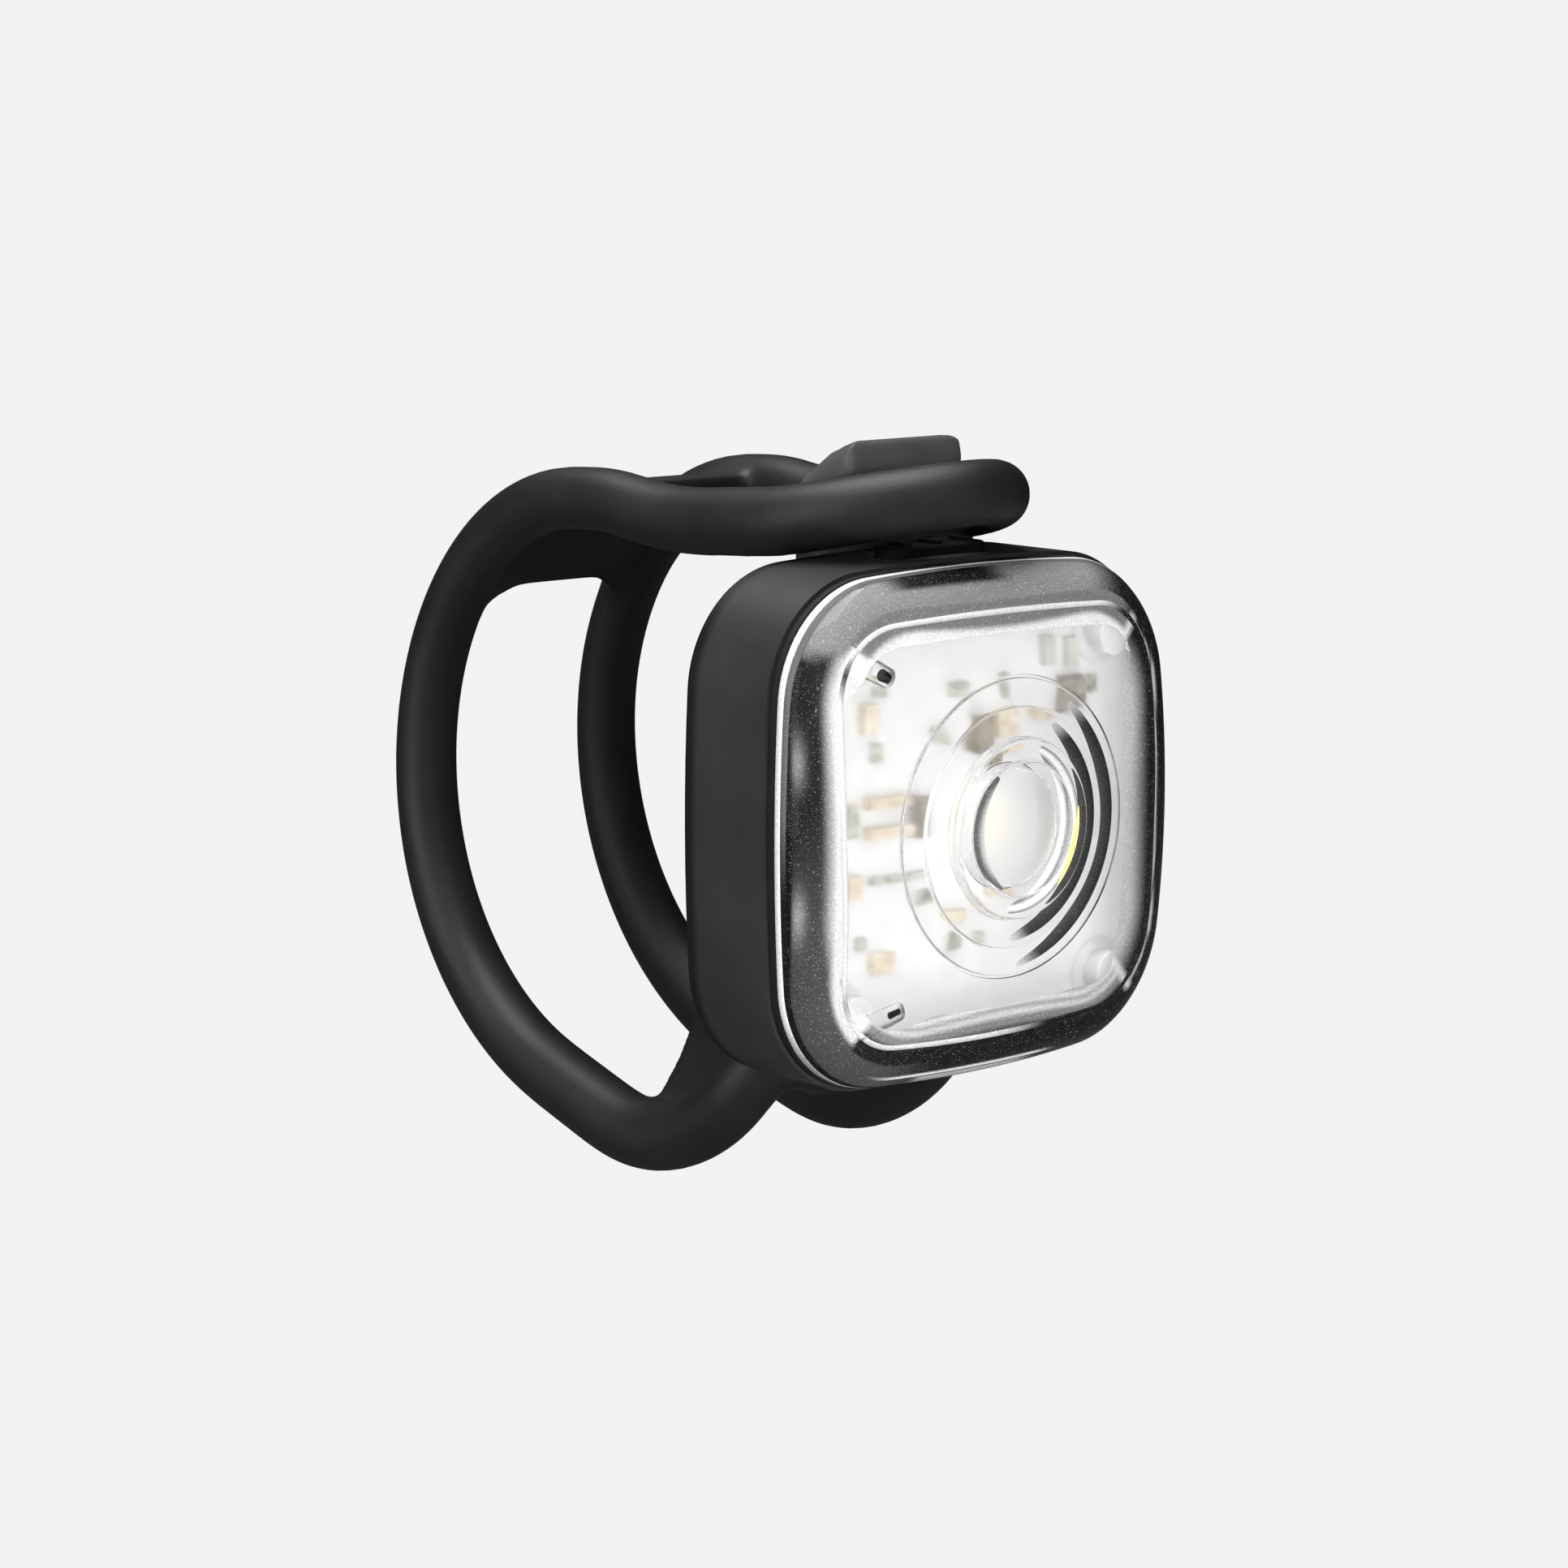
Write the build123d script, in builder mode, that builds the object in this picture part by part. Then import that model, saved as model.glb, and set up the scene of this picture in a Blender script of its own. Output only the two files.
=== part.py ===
"""Compact square bicycle front light with a silicone handlebar strap.

Frame: millimetres. X runs along the handlebar, Y points rearwards (the lamp shines towards -Y) and Z is up.
The origin is on the handlebar's axis, in the middle of the rear saddle.
Depths are distances behind the housing's front edge, so a negative depth lies in front of it.
"""
import math
import os

from build123d import *

os.makedirs("parts", exist_ok=True)

# Handlebar and the light's place in front of it
bar_radius = 15.9
face_to_bar = 28.0

# Housing: a square with slightly bowed sides and large corners
half_width = 20.0
side_bow_radius = 186.0
corner_radius = 9.5
housing_depth = 9.4
wall = 1.5
back_wall = 1.6
back_edge_radius = 0.6
boss_radius = 2.2
rib_grid = (20.0, 34.4)
rib_size = (3.0, 2.4)

# Front gasket and lens
gasket_step = 0.7
gasket_depth = 0.8
gasket_inset = 0.3
gasket_bore_inset = 2.4
lens_inset = 0.45
lens_apex = 6.3
lens_dome_radius = 90.0
lens_edge_radius = 3.7
lens_inner_depth = 3.2
window_inset = 4.2

# Screw posts of the lens and the case screws that hold it
post_place = 13.0
post_radius = 1.8
post_end = 1.4
screw_radius = 0.8
screw_hole_depth = 3.6
screw_head_radius = 1.4
screw_head_height = 1.0
screw_head_sink = 0.2
screw_length = 10.2
hex_radius = 0.65
hex_depth = 0.6

# Beam optic: groove, dish and raised boss, as radii from the beam's axis and depths
ring_radii = (11.6, 9.45, 6.86, 4.76)
groove_depths = (-5.1, -4.8)
dish_depths = (-5.3, -4.4)
boss_depths = (-6.0, -6.3)
boss_recess = 0.4
bowl_radii = (2.7, 1.9)
bowl_depths = (-0.5, -1.6, -2.0)

# Electronics
board_front = 0.3
board_thickness = 1.0
board_inset = 3.0
board_notch = 0.8
led_side = 3.5
led_height = 0.7
phosphor_radius = 1.45
phosphor_height = 0.6

# Tactile switch behind the board
switch_place = 14.8
switch_size = (4.6, 2.8, 2.8)
plunger_size = (2.2, 1.3)
plunger_low = 15.8
plunger_play = 0.1

# Power button on the top face
button_depth = 3.7
button_length = 10.0
button_width = 3.4
button_top = 20.75
button_bottom = 17.2
button_flange = 0.6
button_rib_spacing = 3.2
button_rib_size = (2.4, 0.7)
button_rib_height = 0.3

# Charging port on the right face
port_depth = 2.9
port_plug_half = (1.4, 4.4)
shell_start = 11.4
shell_length = 7.0
shell_outside = (3.2, 8.9)
shell_wall = 0.3
shell_back = 0.8
tongue_size = (0.7, 6.6, 4.6)
flap_seat = 19.1
flap_thickness = 0.75
flap_half_length = 6.2
flap_half_width = 2.35
flap_gap = 0.2
flap_lip_size = (3.6, 0.9, 0.35)

# Battery: pouch cell, pad, protection board and leads
cell_place = -3.6
cell_size = (26.8, 21.0, 4.3)
pad_side = 18.0
pad_thickness = 0.4
guard_place = (-4.4, 11.8)
guard_size = (12.0, 2.4, 2.6)
lead_radius = 0.45
lead_end_z = 15.0
lead_bend = 0.7

# Hook that holds the strap's free end, and the two screws of its plate
hook_half_width = 5.5
hook_tip = (6.5, 26.4)
hook_tip_height = 2.0
hook_corner_radius = 1.0
plate_thickness = 1.6
plate_height = 25.0
bracket_hole_spacing = 14.0
bracket_hole_radius = 0.95
bracket_screw_radius = 0.72
bracket_head_radius = 1.3
bracket_head_height = 0.6

# Strap: two round cords side by side, joined at the root, the crown and the end loop
cord_radius = 2.7
loop_cord_radius = 2.55
cord_spacing_half = 9.77
loop_parting = 0.15
cord_lean = 1.19
root_start = (13.4, -21.7)
root_heading = -49.6
root_bend = (19.2, 36.5)
low_bend = (11.2, 29.6)
low_run = 8.7
back_bend = (25.3, 112.4)
shoulder_bend = (21.2, 33.7)
crown_bend_radius = 17.9
root_stub = 4.5
boot_half_width = 8.6
boot_top = 14.5
boot_floor = -21.3
boot_front_depth = 5.0
saddle_half_angle = 58.0
crotch_radius = 6.6
crotch_depth = 27.6
key_depth = 6.5
key_neck = (6.4, 1.8)
key_head = (8.4, 2.5)
key_head_height = 1.0
bridge_thickness = 2.8


def y_at(depth):
    """Y of a plane that lies this far behind the housing's front edge."""
    return depth - face_to_bar


def station(depth):
    """Sketch plane facing forwards at this depth; an extrusion of -a goes rearwards."""
    return Plane.XZ.offset(-y_at(depth))


def bowed_square(plane, inset):
    """Sketch of the light's outline, drawn in by the inset."""
    side_radius = side_bow_radius - inset
    round_radius = corner_radius - inset
    drop = side_bow_radius - half_width
    reach = side_bow_radius - corner_radius
    centre = (math.sqrt(2 * reach**2 - drop**2) - drop) / 2
    swing = math.degrees(math.atan2(centre, centre + drop))
    with BuildSketch(plane) as outline:
        with BuildLine():
            for quarter in range(4):
                turn = -90 * quarter
                side_centre = Vector(0, -drop).rotate(Axis.Z, turn)
                round_centre = Vector(centre, centre).rotate(Axis.Z, turn)
                CenterArc(side_centre, side_radius, 90 - swing + turn, 2 * swing)
                CenterArc(round_centre, round_radius, swing + turn, 90 - 2 * swing)
        make_face()
    return outline.sketch


def corner_circles(depth, radius):
    """Sketch of four circles on the case screws' axes."""
    with BuildSketch(station(depth)) as circles:
        with GridLocations(2 * post_place, 2 * post_place, 2, 2):
            Circle(radius)
    return circles.sketch


def bracket_circles(depth, radius):
    """Sketch of two circles on the bracket screws' axes."""
    with BuildSketch(station(depth)) as circles:
        with GridLocations(1, bracket_hole_spacing, 1, 2):
            Circle(radius)
    return circles.sketch


def side_slot(x, length, width, radius):
    """Sketch of a rounded slot round the charging port's axis, facing right."""
    with BuildSketch(Plane.YZ.offset(x)) as slot:
        with Locations((y_at(port_depth), 0)):
            RectangleRounded(width, length, radius)
    return slot.sketch


def top_slot(z, depth, length, width, radius):
    """Sketch of a rounded rectangle that faces up, centred on X = 0 at this depth."""
    with BuildSketch(Plane.XY.offset(z)) as slot:
        with Locations((0, y_at(depth))):
            RectangleRounded(length, width, radius)
    return slot.sketch


# Housing: an open-fronted shell with bosses for the case screws
board_back = board_front + board_thickness
with BuildPart() as housing:
    extrude(bowed_square(station(0), 0), amount=-housing_depth)
    fillet(housing.faces().sort_by(Axis.Y)[-1].edges(), back_edge_radius)
    extrude(bowed_square(station(0), wall), amount=-(housing_depth - back_wall), mode=Mode.SUBTRACT)
    extrude(corner_circles(housing_depth, boss_radius), amount=housing_depth - post_end)
    with BuildSketch(station(housing_depth)):
        with GridLocations(*rib_grid, 2, 2):
            Rectangle(*rib_size)
    extrude(amount=housing_depth - board_back)
    extrude(corner_circles(housing_depth, screw_radius + 0.1), amount=housing_depth, mode=Mode.SUBTRACT)
    extrude(
        corner_circles(housing_depth, screw_head_radius + 0.15),
        amount=screw_head_height + screw_head_sink,
        mode=Mode.SUBTRACT,
    )
    extrude(
        top_slot(half_width - wall - 0.5, button_depth, button_length + 0.3, button_width + 0.3, 1.6),
        amount=wall + 1,
        mode=Mode.SUBTRACT,
    )
    extrude(
        side_slot(flap_seat, 2 * flap_half_length + 1.2, 2 * (flap_half_width + flap_gap), 0.9),
        amount=half_width,
        mode=Mode.SUBTRACT,
    )
    extrude(
        side_slot(half_width - wall - 0.4, 2 * port_plug_half[1] + 0.8, 2 * port_plug_half[0] + 0.5, 1.2),
        amount=wall + 0.5,
        mode=Mode.SUBTRACT,
    )
    extrude(bracket_circles(housing_depth, bracket_screw_radius + 0.03), amount=back_wall, mode=Mode.SUBTRACT)
    extrude(top_slot(-half_width - 0.5, key_depth, *key_neck, 0.6), amount=wall + 1, mode=Mode.SUBTRACT)
housing.part.label = "housing"

# Front gasket: the black rubber band between the housing and the lens
with BuildPart() as front_gasket:
    extrude(bowed_square(station(0), gasket_inset), amount=gasket_step)
    extrude(bowed_square(station(gasket_depth), wall + 0.1), amount=gasket_depth)
    extrude(
        bowed_square(station(gasket_depth), gasket_bore_inset),
        amount=gasket_depth + gasket_step,
        mode=Mode.SUBTRACT,
    )
front_gasket.part.label = "front_gasket"

# Lens: one clear moulding with a domed front, four screw posts and the beam optic
with BuildPart() as lens:
    extrude(bowed_square(station(-gasket_step), lens_inset), amount=lens_apex + 1)
    with Locations((0, y_at(lens_dome_radius - lens_apex), 0)):
        Sphere(lens_dome_radius, mode=Mode.INTERSECT)
    fillet(lens.faces().sort_by(Axis.Y)[0].edges(), lens_edge_radius)
    extrude(
        bowed_square(station(-gasket_step), window_inset),
        amount=lens_inner_depth - gasket_step,
        mode=Mode.SUBTRACT,
    )
    extrude(corner_circles(post_end, post_radius), amount=lens_inner_depth + post_end + 0.2)
    extrude(corner_circles(post_end, screw_radius), amount=screw_hole_depth, mode=Mode.SUBTRACT)
    with BuildSketch(Plane.XY):
        with BuildLine():
            Polyline(
                (ring_radii[3], y_at(-lens_apex - 1)),
                (ring_radii[0], y_at(-lens_apex - 1)),
                (ring_radii[0], y_at(groove_depths[0])),
                (ring_radii[1], y_at(groove_depths[1])),
                (ring_radii[1], y_at(dish_depths[0])),
                (ring_radii[2] + 0.3, y_at(dish_depths[1])),
                (ring_radii[2], y_at(boss_depths[0])),
                (ring_radii[3], y_at(boss_depths[1])),
                close=True,
            )
        make_face()
    revolve(axis=Axis.Y, mode=Mode.SUBTRACT)
    with BuildSketch(station(boss_recess - lens_apex)):
        Circle(ring_radii[3])
    extrude(amount=1, mode=Mode.SUBTRACT)
    # The bowl behind the boss, which gathers the lamp's light
    with BuildSketch(Plane.XY):
        with BuildLine():
            Polyline(
                (0, y_at(-lens_inner_depth - 0.2)),
                (ring_radii[2], y_at(-lens_inner_depth - 0.2)),
                (bowl_radii[0], y_at(bowl_depths[0])),
                (bowl_radii[1], y_at(bowl_depths[0])),
                (bowl_radii[1], y_at(bowl_depths[1])),
                (0, y_at(bowl_depths[2])),
                close=True,
            )
        make_face()
    revolve(axis=Axis.Y)
lens.part.label = "lens"

# Circuit board with corner notches for the lens posts
with BuildPart() as main_board:
    extrude(bowed_square(station(board_back), board_inset), amount=board_thickness)
    extrude(
        corner_circles(board_back, post_radius + board_notch), amount=board_thickness, mode=Mode.SUBTRACT
    )
main_board.part.label = "main_board"

# Lamp: a ceramic base and its yellow phosphor dome
with BuildPart() as led_base:
    with BuildSketch(station(board_front)):
        RectangleRounded(led_side, led_side, 0.2)
    extrude(amount=led_height)
led_base.part.label = "led_base"

with BuildPart() as led_phosphor:
    with BuildSketch(Plane.XY):
        with BuildLine():
            base = y_at(board_front - led_height)
            Polyline((phosphor_radius, base), (0, base), (0, base - phosphor_height))
            ThreePointArc(
                (0, base - phosphor_height),
                (0.72 * phosphor_radius, base - 0.7 * phosphor_height),
                (phosphor_radius, base),
            )
        make_face()
    revolve(axis=Axis.Y)
led_phosphor.part.label = "led_phosphor"


def chip_group(label, height, chips):
    """Flat components on the board's face: each is (x, z, length along X, length along Z)."""
    with BuildPart() as group:
        for x, z, length, width in chips:
            with BuildSketch(station(board_front)):
                with Locations((x, z)):
                    Rectangle(length, width)
            extrude(amount=height)
    group.part.label = label
    return group.part


driver_chip = chip_group("driver_chip", 0.8, [(9.7, 8.6, 2.4, 2.4)])
charger_chip = chip_group("charger_chip", 0.75, [(-5.0, 0.8, 1.5, 3.0)])
inductor = chip_group("inductor", 1.2, [(0.6, 6.3, 1.4, 3.0)])
capacitors = chip_group(
    "capacitors",
    0.7,
    [
        (-9.9, 8.4, 1.4, 2.2),
        (-8.2, 2.2, 4.0, 0.8),
        (-8.2, 0.0, 4.0, 0.8),
        (-11.6, -3.8, 1.4, 1.8),
        (3.2, 6.7, 1.8, 2.4),
        (6.6, 6.9, 2.2, 0.9),
        (-8.8, -9.6, 2.0, 1.5),
        (-1.8, -6.6, 2.2, 0.8),
        (1.9, -5.7, 2.8, 0.9),
    ],
)
resistors = chip_group(
    "resistors",
    0.4,
    [
        (-8.7, 10.2, 1.0, 0.7),
        (-9.0, 5.8, 0.8, 1.4),
        (-11.4, 1.1, 0.9, 2.4),
        (-9.2, -3.5, 1.0, 0.6),
        (-7.5, -3.5, 1.2, 0.6),
        (-5.7, -3.5, 1.2, 0.6),
        (-4.6, -5.2, 1.0, 1.1),
        (0.8, -8.6, 0.7, 1.4),
        (-1.8, -8.9, 0.9, 1.2),
        (-10.6, -8.0, 0.8, 0.9),
        (3.2, 9.7, 0.6, 1.7),
        (-1.3, 9.7, 1.6, 1.0),
        (12.1, 9.0, 0.8, 1.4),
        (-3.2, 6.6, 1.2, 1.2),
    ],
)
signal_leds = chip_group("signal_leds", 0.6, [(7.5, 11.9, 1.2, 2.2), (9.9, 11.6, 1.2, 2.2)])

# Side switch behind the board, with the plunger that the button presses
switch_axis = board_back + switch_size[2] / 2
with BuildPart() as switch_body:
    with BuildSketch(station(board_back)):
        with Locations((0, switch_place)):
            Rectangle(*switch_size[:2])
    extrude(amount=-switch_size[2])
    with BuildSketch(Plane.XY.offset(plunger_low - 0.6)):
        with Locations((0, y_at(switch_axis))):
            Rectangle(plunger_size[0] + 2 * plunger_play, plunger_size[1] + 2 * plunger_play)
    extrude(amount=switch_size[1], mode=Mode.SUBTRACT)
switch_body.part.label = "switch_body"

with BuildPart() as switch_plunger:
    with BuildSketch(Plane.XY.offset(plunger_low)):
        with Locations((0, y_at(switch_axis))):
            Rectangle(*plunger_size)
    extrude(amount=button_bottom - plunger_low)
switch_plunger.part.label = "switch_plunger"

# Power button: a low key with a retaining flange and three grip ribs
with BuildPart() as power_button:
    extrude(
        top_slot(button_bottom, button_depth, button_length + 1.2, button_width + 0.9, 1.8),
        amount=button_flange,
    )
    extrude(
        top_slot(button_bottom, button_depth, button_length, button_width, 1.5),
        amount=button_top - button_bottom,
    )
    fillet(power_button.faces().sort_by(Axis.Z)[-1].edges(), 0.3)
    with BuildSketch(Plane.XY.offset(button_top - 0.1)):
        with Locations((0, y_at(button_depth))):
            with GridLocations(button_rib_spacing, 1, 3, 1):
                SlotOverall(*button_rib_size, rotation=90)
    extrude(amount=button_rib_height + 0.1)
power_button.part.label = "power_button"

# Charging socket: a steel shell and its contact tongue, open to the right
with BuildPart() as socket_shell:
    extrude(side_slot(shell_start, shell_outside[1], shell_outside[0], 1.4), amount=shell_length)
    extrude(
        side_slot(
            shell_start + shell_back, shell_outside[1] - 2 * shell_wall, shell_outside[0] - 2 * shell_wall, 1.2
        ),
        amount=shell_length,
        mode=Mode.SUBTRACT,
    )
socket_shell.part.label = "socket_shell"

with BuildPart() as socket_tongue:
    with BuildSketch(Plane.YZ.offset(shell_start + shell_back)):
        with Locations((y_at(port_depth), 0)):
            Rectangle(*tongue_size[:2])
    extrude(amount=tongue_size[2])
socket_tongue.part.label = "socket_tongue"

# Port flap: hinged along its lower edge, with a sealing plug and a finger lip
with BuildPart() as port_flap:
    extrude(side_slot(flap_seat, 2 * flap_half_length, 2 * flap_half_width, 0.7), amount=flap_thickness)
    extrude(
        side_slot(half_width - wall + 0.02, 2 * port_plug_half[1], 2 * port_plug_half[0], 1.0),
        amount=flap_seat - half_width + wall,
    )
    with BuildSketch(Plane.YZ.offset(flap_seat + flap_thickness)):
        with Locations((y_at(port_depth), flap_half_length - 1.1)):
            SlotOverall(*flap_lip_size[:2])
    extrude(amount=flap_lip_size[2])
port_flap.part.label = "port_flap"

# Battery: pouch cell, the pad that holds it to the back wall, and its protection board
cell_back = housing_depth - back_wall - pad_thickness
with BuildPart() as battery_cell:
    with BuildSketch(station(cell_back)):
        with Locations((cell_place, 0)):
            RectangleRounded(*cell_size[:2], 1.0)
    extrude(amount=cell_size[2])
    fillet(battery_cell.edges().filter_by(Axis.Z), 1.2)
battery_cell.part.label = "battery_cell"

with BuildPart() as battery_pad:
    with BuildSketch(station(cell_back + pad_thickness)):
        with Locations((cell_place, 0)):
            RectangleRounded(pad_side, pad_side, 1.0)
    extrude(amount=pad_thickness)
battery_pad.part.label = "battery_pad"

with BuildPart() as guard_board:
    with BuildSketch(station(cell_back)):
        with Locations(guard_place):
            Rectangle(*guard_size[:2])
    extrude(amount=guard_size[2])
guard_board.part.label = "guard_board"

# Battery leads: from the protection board up and forwards to the circuit board
lead_start = cell_back - guard_size[2]
for name, x in (("battery_lead_red", -4.4), ("battery_lead_black", -6.6)):
    with BuildPart() as lead:
        with BuildLine() as lead_route:
            FilletPolyline(
                (x, y_at(lead_start), guard_place[1]),
                (x, y_at(lead_start - 1.2), guard_place[1]),
                (x, y_at(lead_start - 1.2), lead_end_z),
                (x, y_at(board_back), lead_end_z),
                radius=lead_bend,
            )
        with BuildSketch(Plane(origin=lead_route.line @ 0, z_dir=lead_route.line % 0)):
            Circle(lead_radius)
        sweep(path=lead_route.line)
    lead.part.label = name
    export_step(lead.part, f"parts/{name}.step")

# Case screws: four, from the back of the housing into the lens posts
head_depth = housing_depth - screw_head_sink
with BuildPart() as case_screws:
    extrude(corner_circles(head_depth, screw_head_radius), amount=screw_head_height)
    extrude(corner_circles(head_depth, screw_radius - 0.02), amount=screw_length)
    with BuildSketch(station(head_depth)):
        with GridLocations(2 * post_place, 2 * post_place, 2, 2):
            RegularPolygon(hex_radius, 6)
    extrude(amount=hex_depth, mode=Mode.SUBTRACT)
case_screws.part.label = "case_screws"

# Hook bracket: a plate screwed to the back of the housing, rising over the top as the strap's hook
plate_depth = housing_depth + plate_thickness
with BuildPart() as hook_bracket:
    with BuildSketch(station(plate_depth)):
        with Locations((0, 0.5)):
            RectangleRounded(2 * hook_half_width, plate_height, 1.5)
    extrude(amount=plate_thickness)
    with BuildSketch(Plane.YZ):
        with BuildLine():
            Polyline(
                (y_at(housing_depth), 10.0),
                (y_at(housing_depth), 20.4),
                (y_at(housing_depth - 0.4), 24.2),
                (y_at(hook_tip[0]), hook_tip[1]),
                (y_at(hook_tip[0]), hook_tip[1] + hook_tip_height),
                (y_at(9.3), 27.15),
                (y_at(12.0), 24.7),
                (y_at(12.6), 22.5),
                (y_at(12.6), 14.6),
                (y_at(plate_depth), 12.8),
                (y_at(plate_depth), 10.0),
                close=True,
            )
        make_face()
    extrude(amount=hook_half_width, both=True)
    head_corners = hook_bracket.edges().filter_by(Axis.Z).filter_by_position(Axis.Z, 26, 29)
    fillet(head_corners, hook_corner_radius)
    extrude(bracket_circles(plate_depth, bracket_hole_radius), amount=plate_thickness, mode=Mode.SUBTRACT)
hook_bracket.part.label = "hook_bracket"

with BuildPart() as bracket_screws:
    extrude(bracket_circles(plate_depth, bracket_screw_radius), amount=plate_thickness + back_wall - 0.1)
    extrude(
        bracket_circles(plate_depth + bracket_head_height, bracket_head_radius), amount=bracket_head_height
    )
bracket_screws.part.label = "bracket_screws"


def cord_plane(side):
    """Plane of one strap cord: it leans slightly, so the cords draw together towards the crown."""
    lean = math.radians(cord_lean) * side
    return Plane(
        origin=(side * cord_spacing_half, 0, 0),
        x_dir=(0, 1, 0),
        z_dir=(math.cos(lean), 0, math.sin(lean)),
    )


def strap_course(plane, keep_lower=True):
    """The strap's course in side view, from the root round the bar to the crown, as tangent arcs."""
    crown_turn = 180 - root_heading - root_bend[1] - low_bend[1] - back_bend[1] - shoulder_bend[1]
    kept = Mode.ADD if keep_lower else Mode.PRIVATE
    heading = math.radians(root_heading)
    with BuildLine(plane) as course:
        start = (y_at(root_start[0]), root_start[1])
        root = JernArc(start, (math.cos(heading), math.sin(heading)), *root_bend, mode=kept)
        low = JernArc(root @ 1, root % 1, *low_bend, mode=kept)
        run = Line(low @ 1, low @ 1 + (low % 1) * low_run, mode=kept)
        back = JernArc(run @ 1, run % 1, *back_bend, mode=kept)
        shoulder = JernArc(back @ 1, back % 1, *shoulder_bend)
        JernArc(shoulder @ 1, shoulder % 1, crown_bend_radius, crown_turn)
    return course.wires()[0]


# Strap cords: one on each side, from the root below the housing up to the crown
bands = []
courses = []
for side, name in ((-1, "strap_band_left"), (1, "strap_band_right")):
    course = strap_course(cord_plane(side))
    with BuildPart() as band:
        with BuildSketch(Plane(origin=course @ 0, z_dir=course % 0)):
            Circle(cord_radius)
        sweep(path=course)
    band.part.label = name
    bands.append(band.part)
    courses.append(course)
    export_step(band.part, f"parts/{name}.step")

# Boot: the rubber saddle against the bar and the tongue from which both cords spring
saddle_reach = math.radians(saddle_half_angle)
saddle_edge_depth = face_to_bar - bar_radius * math.cos(saddle_reach)
saddle_edge_z = bar_radius * math.sin(saddle_reach)
with BuildPart() as strap_boot:
    with BuildSketch(Plane.YZ):
        with BuildLine():
            upper = Polyline(
                (y_at(housing_depth), boot_top - 0.2),
                (y_at(saddle_edge_depth - 0.6), boot_top),
                (y_at(saddle_edge_depth), saddle_edge_z),
            )
            saddle = ThreePointArc(
                upper @ 1,
                (y_at(face_to_bar - bar_radius), 0),
                (y_at(saddle_edge_depth), -saddle_edge_z),
            )
            Polyline(
                saddle @ 1,
                (y_at(23.0), -20.7),
                (y_at(25.6), -25.6),
                (y_at(23.6), -27.6),
                (y_at(19.4), -26.2),
                (y_at(14.0), -23.2),
                (y_at(10.4), boot_floor - 0.4),
                (y_at(boot_front_depth), boot_floor),
                (y_at(boot_front_depth), -half_width),
                (y_at(housing_depth), -half_width),
                upper @ 0,
            )
        make_face()
    extrude(amount=boot_half_width, both=True)
    for course in courses:
        with BuildSketch(Plane(origin=course @ 0, z_dir=(course % 0) * -1)):
            Circle(cord_radius)
        extrude(amount=root_stub)
    with Locations((0, y_at(crotch_depth), -24)):
        Cylinder(crotch_radius, 16, mode=Mode.SUBTRACT)
    extrude(top_slot(boot_floor, key_depth, *key_neck, 0.6), amount=wall - boot_floor - half_width + 0.2)
    extrude(top_slot(wall - half_width, key_depth, *key_head, 0.8), amount=key_head_height)
    extrude(
        bracket_circles(plate_depth + bracket_head_height, bracket_head_radius),
        amount=plate_thickness + bracket_head_height,
        mode=Mode.SUBTRACT,
    )
    add([housing.part, hook_bracket.part, *bands], mode=Mode.SUBTRACT)
strap_boot.part.label = "strap_boot"

# Bridge: the web that ties the two cords together over the shoulder
bridge_course = strap_course(Plane.YZ, keep_lower=False)
with BuildPart() as strap_bridge:
    with BuildSketch(Plane(origin=bridge_course @ 0, x_dir=(1, 0, 0), z_dir=bridge_course % 0)):
        Rectangle(2 * cord_spacing_half, bridge_thickness)
    sweep(path=bridge_course)
    add(bands, mode=Mode.SUBTRACT)
strap_bridge.part.label = "strap_bridge"

# Free end of the strap: both cords run forwards over the housing and close in a loop round the hook
crown = courses[1] @ 1
half_route = [
    (crown.X, crown.Y - loop_parting, crown.Z),
    (crown.X, y_at(28.4), crown.Z),
    (9.0, y_at(21.6), 21.3),
    (9.3, y_at(10.5), 22.5),
    (6.9, y_at(0.9), 24.9),
]
half_radii = [34, 24, 32, 6]
loop_route = half_route + [(-x, y, z) for x, y, z in reversed(half_route)]
with BuildPart() as strap_loop:
    with BuildLine() as route:
        FilletPolyline(*loop_route, radius=half_radii + half_radii[::-1])
    with BuildSketch(Plane(origin=route.line @ 0, z_dir=route.line % 0)):
        Circle(loop_cord_radius)
    sweep(path=route.line)
strap_loop.part.label = "strap_loop"

for piece in (
    housing,
    front_gasket,
    lens,
    main_board,
    led_base,
    led_phosphor,
    switch_body,
    switch_plunger,
    power_button,
    socket_shell,
    socket_tongue,
    port_flap,
    battery_cell,
    battery_pad,
    guard_board,
    case_screws,
    hook_bracket,
    bracket_screws,
    strap_boot,
    strap_bridge,
    strap_loop,
):
    export_step(piece.part, f"parts/{piece.part.label}.step")
for group in (driver_chip, charger_chip, inductor, capacitors, resistors, signal_leds):
    export_step(group, f"parts/{group.label}.step")

loop_length = sum(edge.length for edge in route.line.edges())
print("crown of the right cord:", crown)
print("loop volume against section times length:",
      strap_loop.part.volume / (math.pi * loop_cord_radius**2 * loop_length))
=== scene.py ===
# Square bicycle front light with a twin-cord silicone strap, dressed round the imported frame
from math import acos, asin, atan2, copysign, cos, degrees, exp, hypot, pi, radians, sin, sqrt, tan

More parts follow.
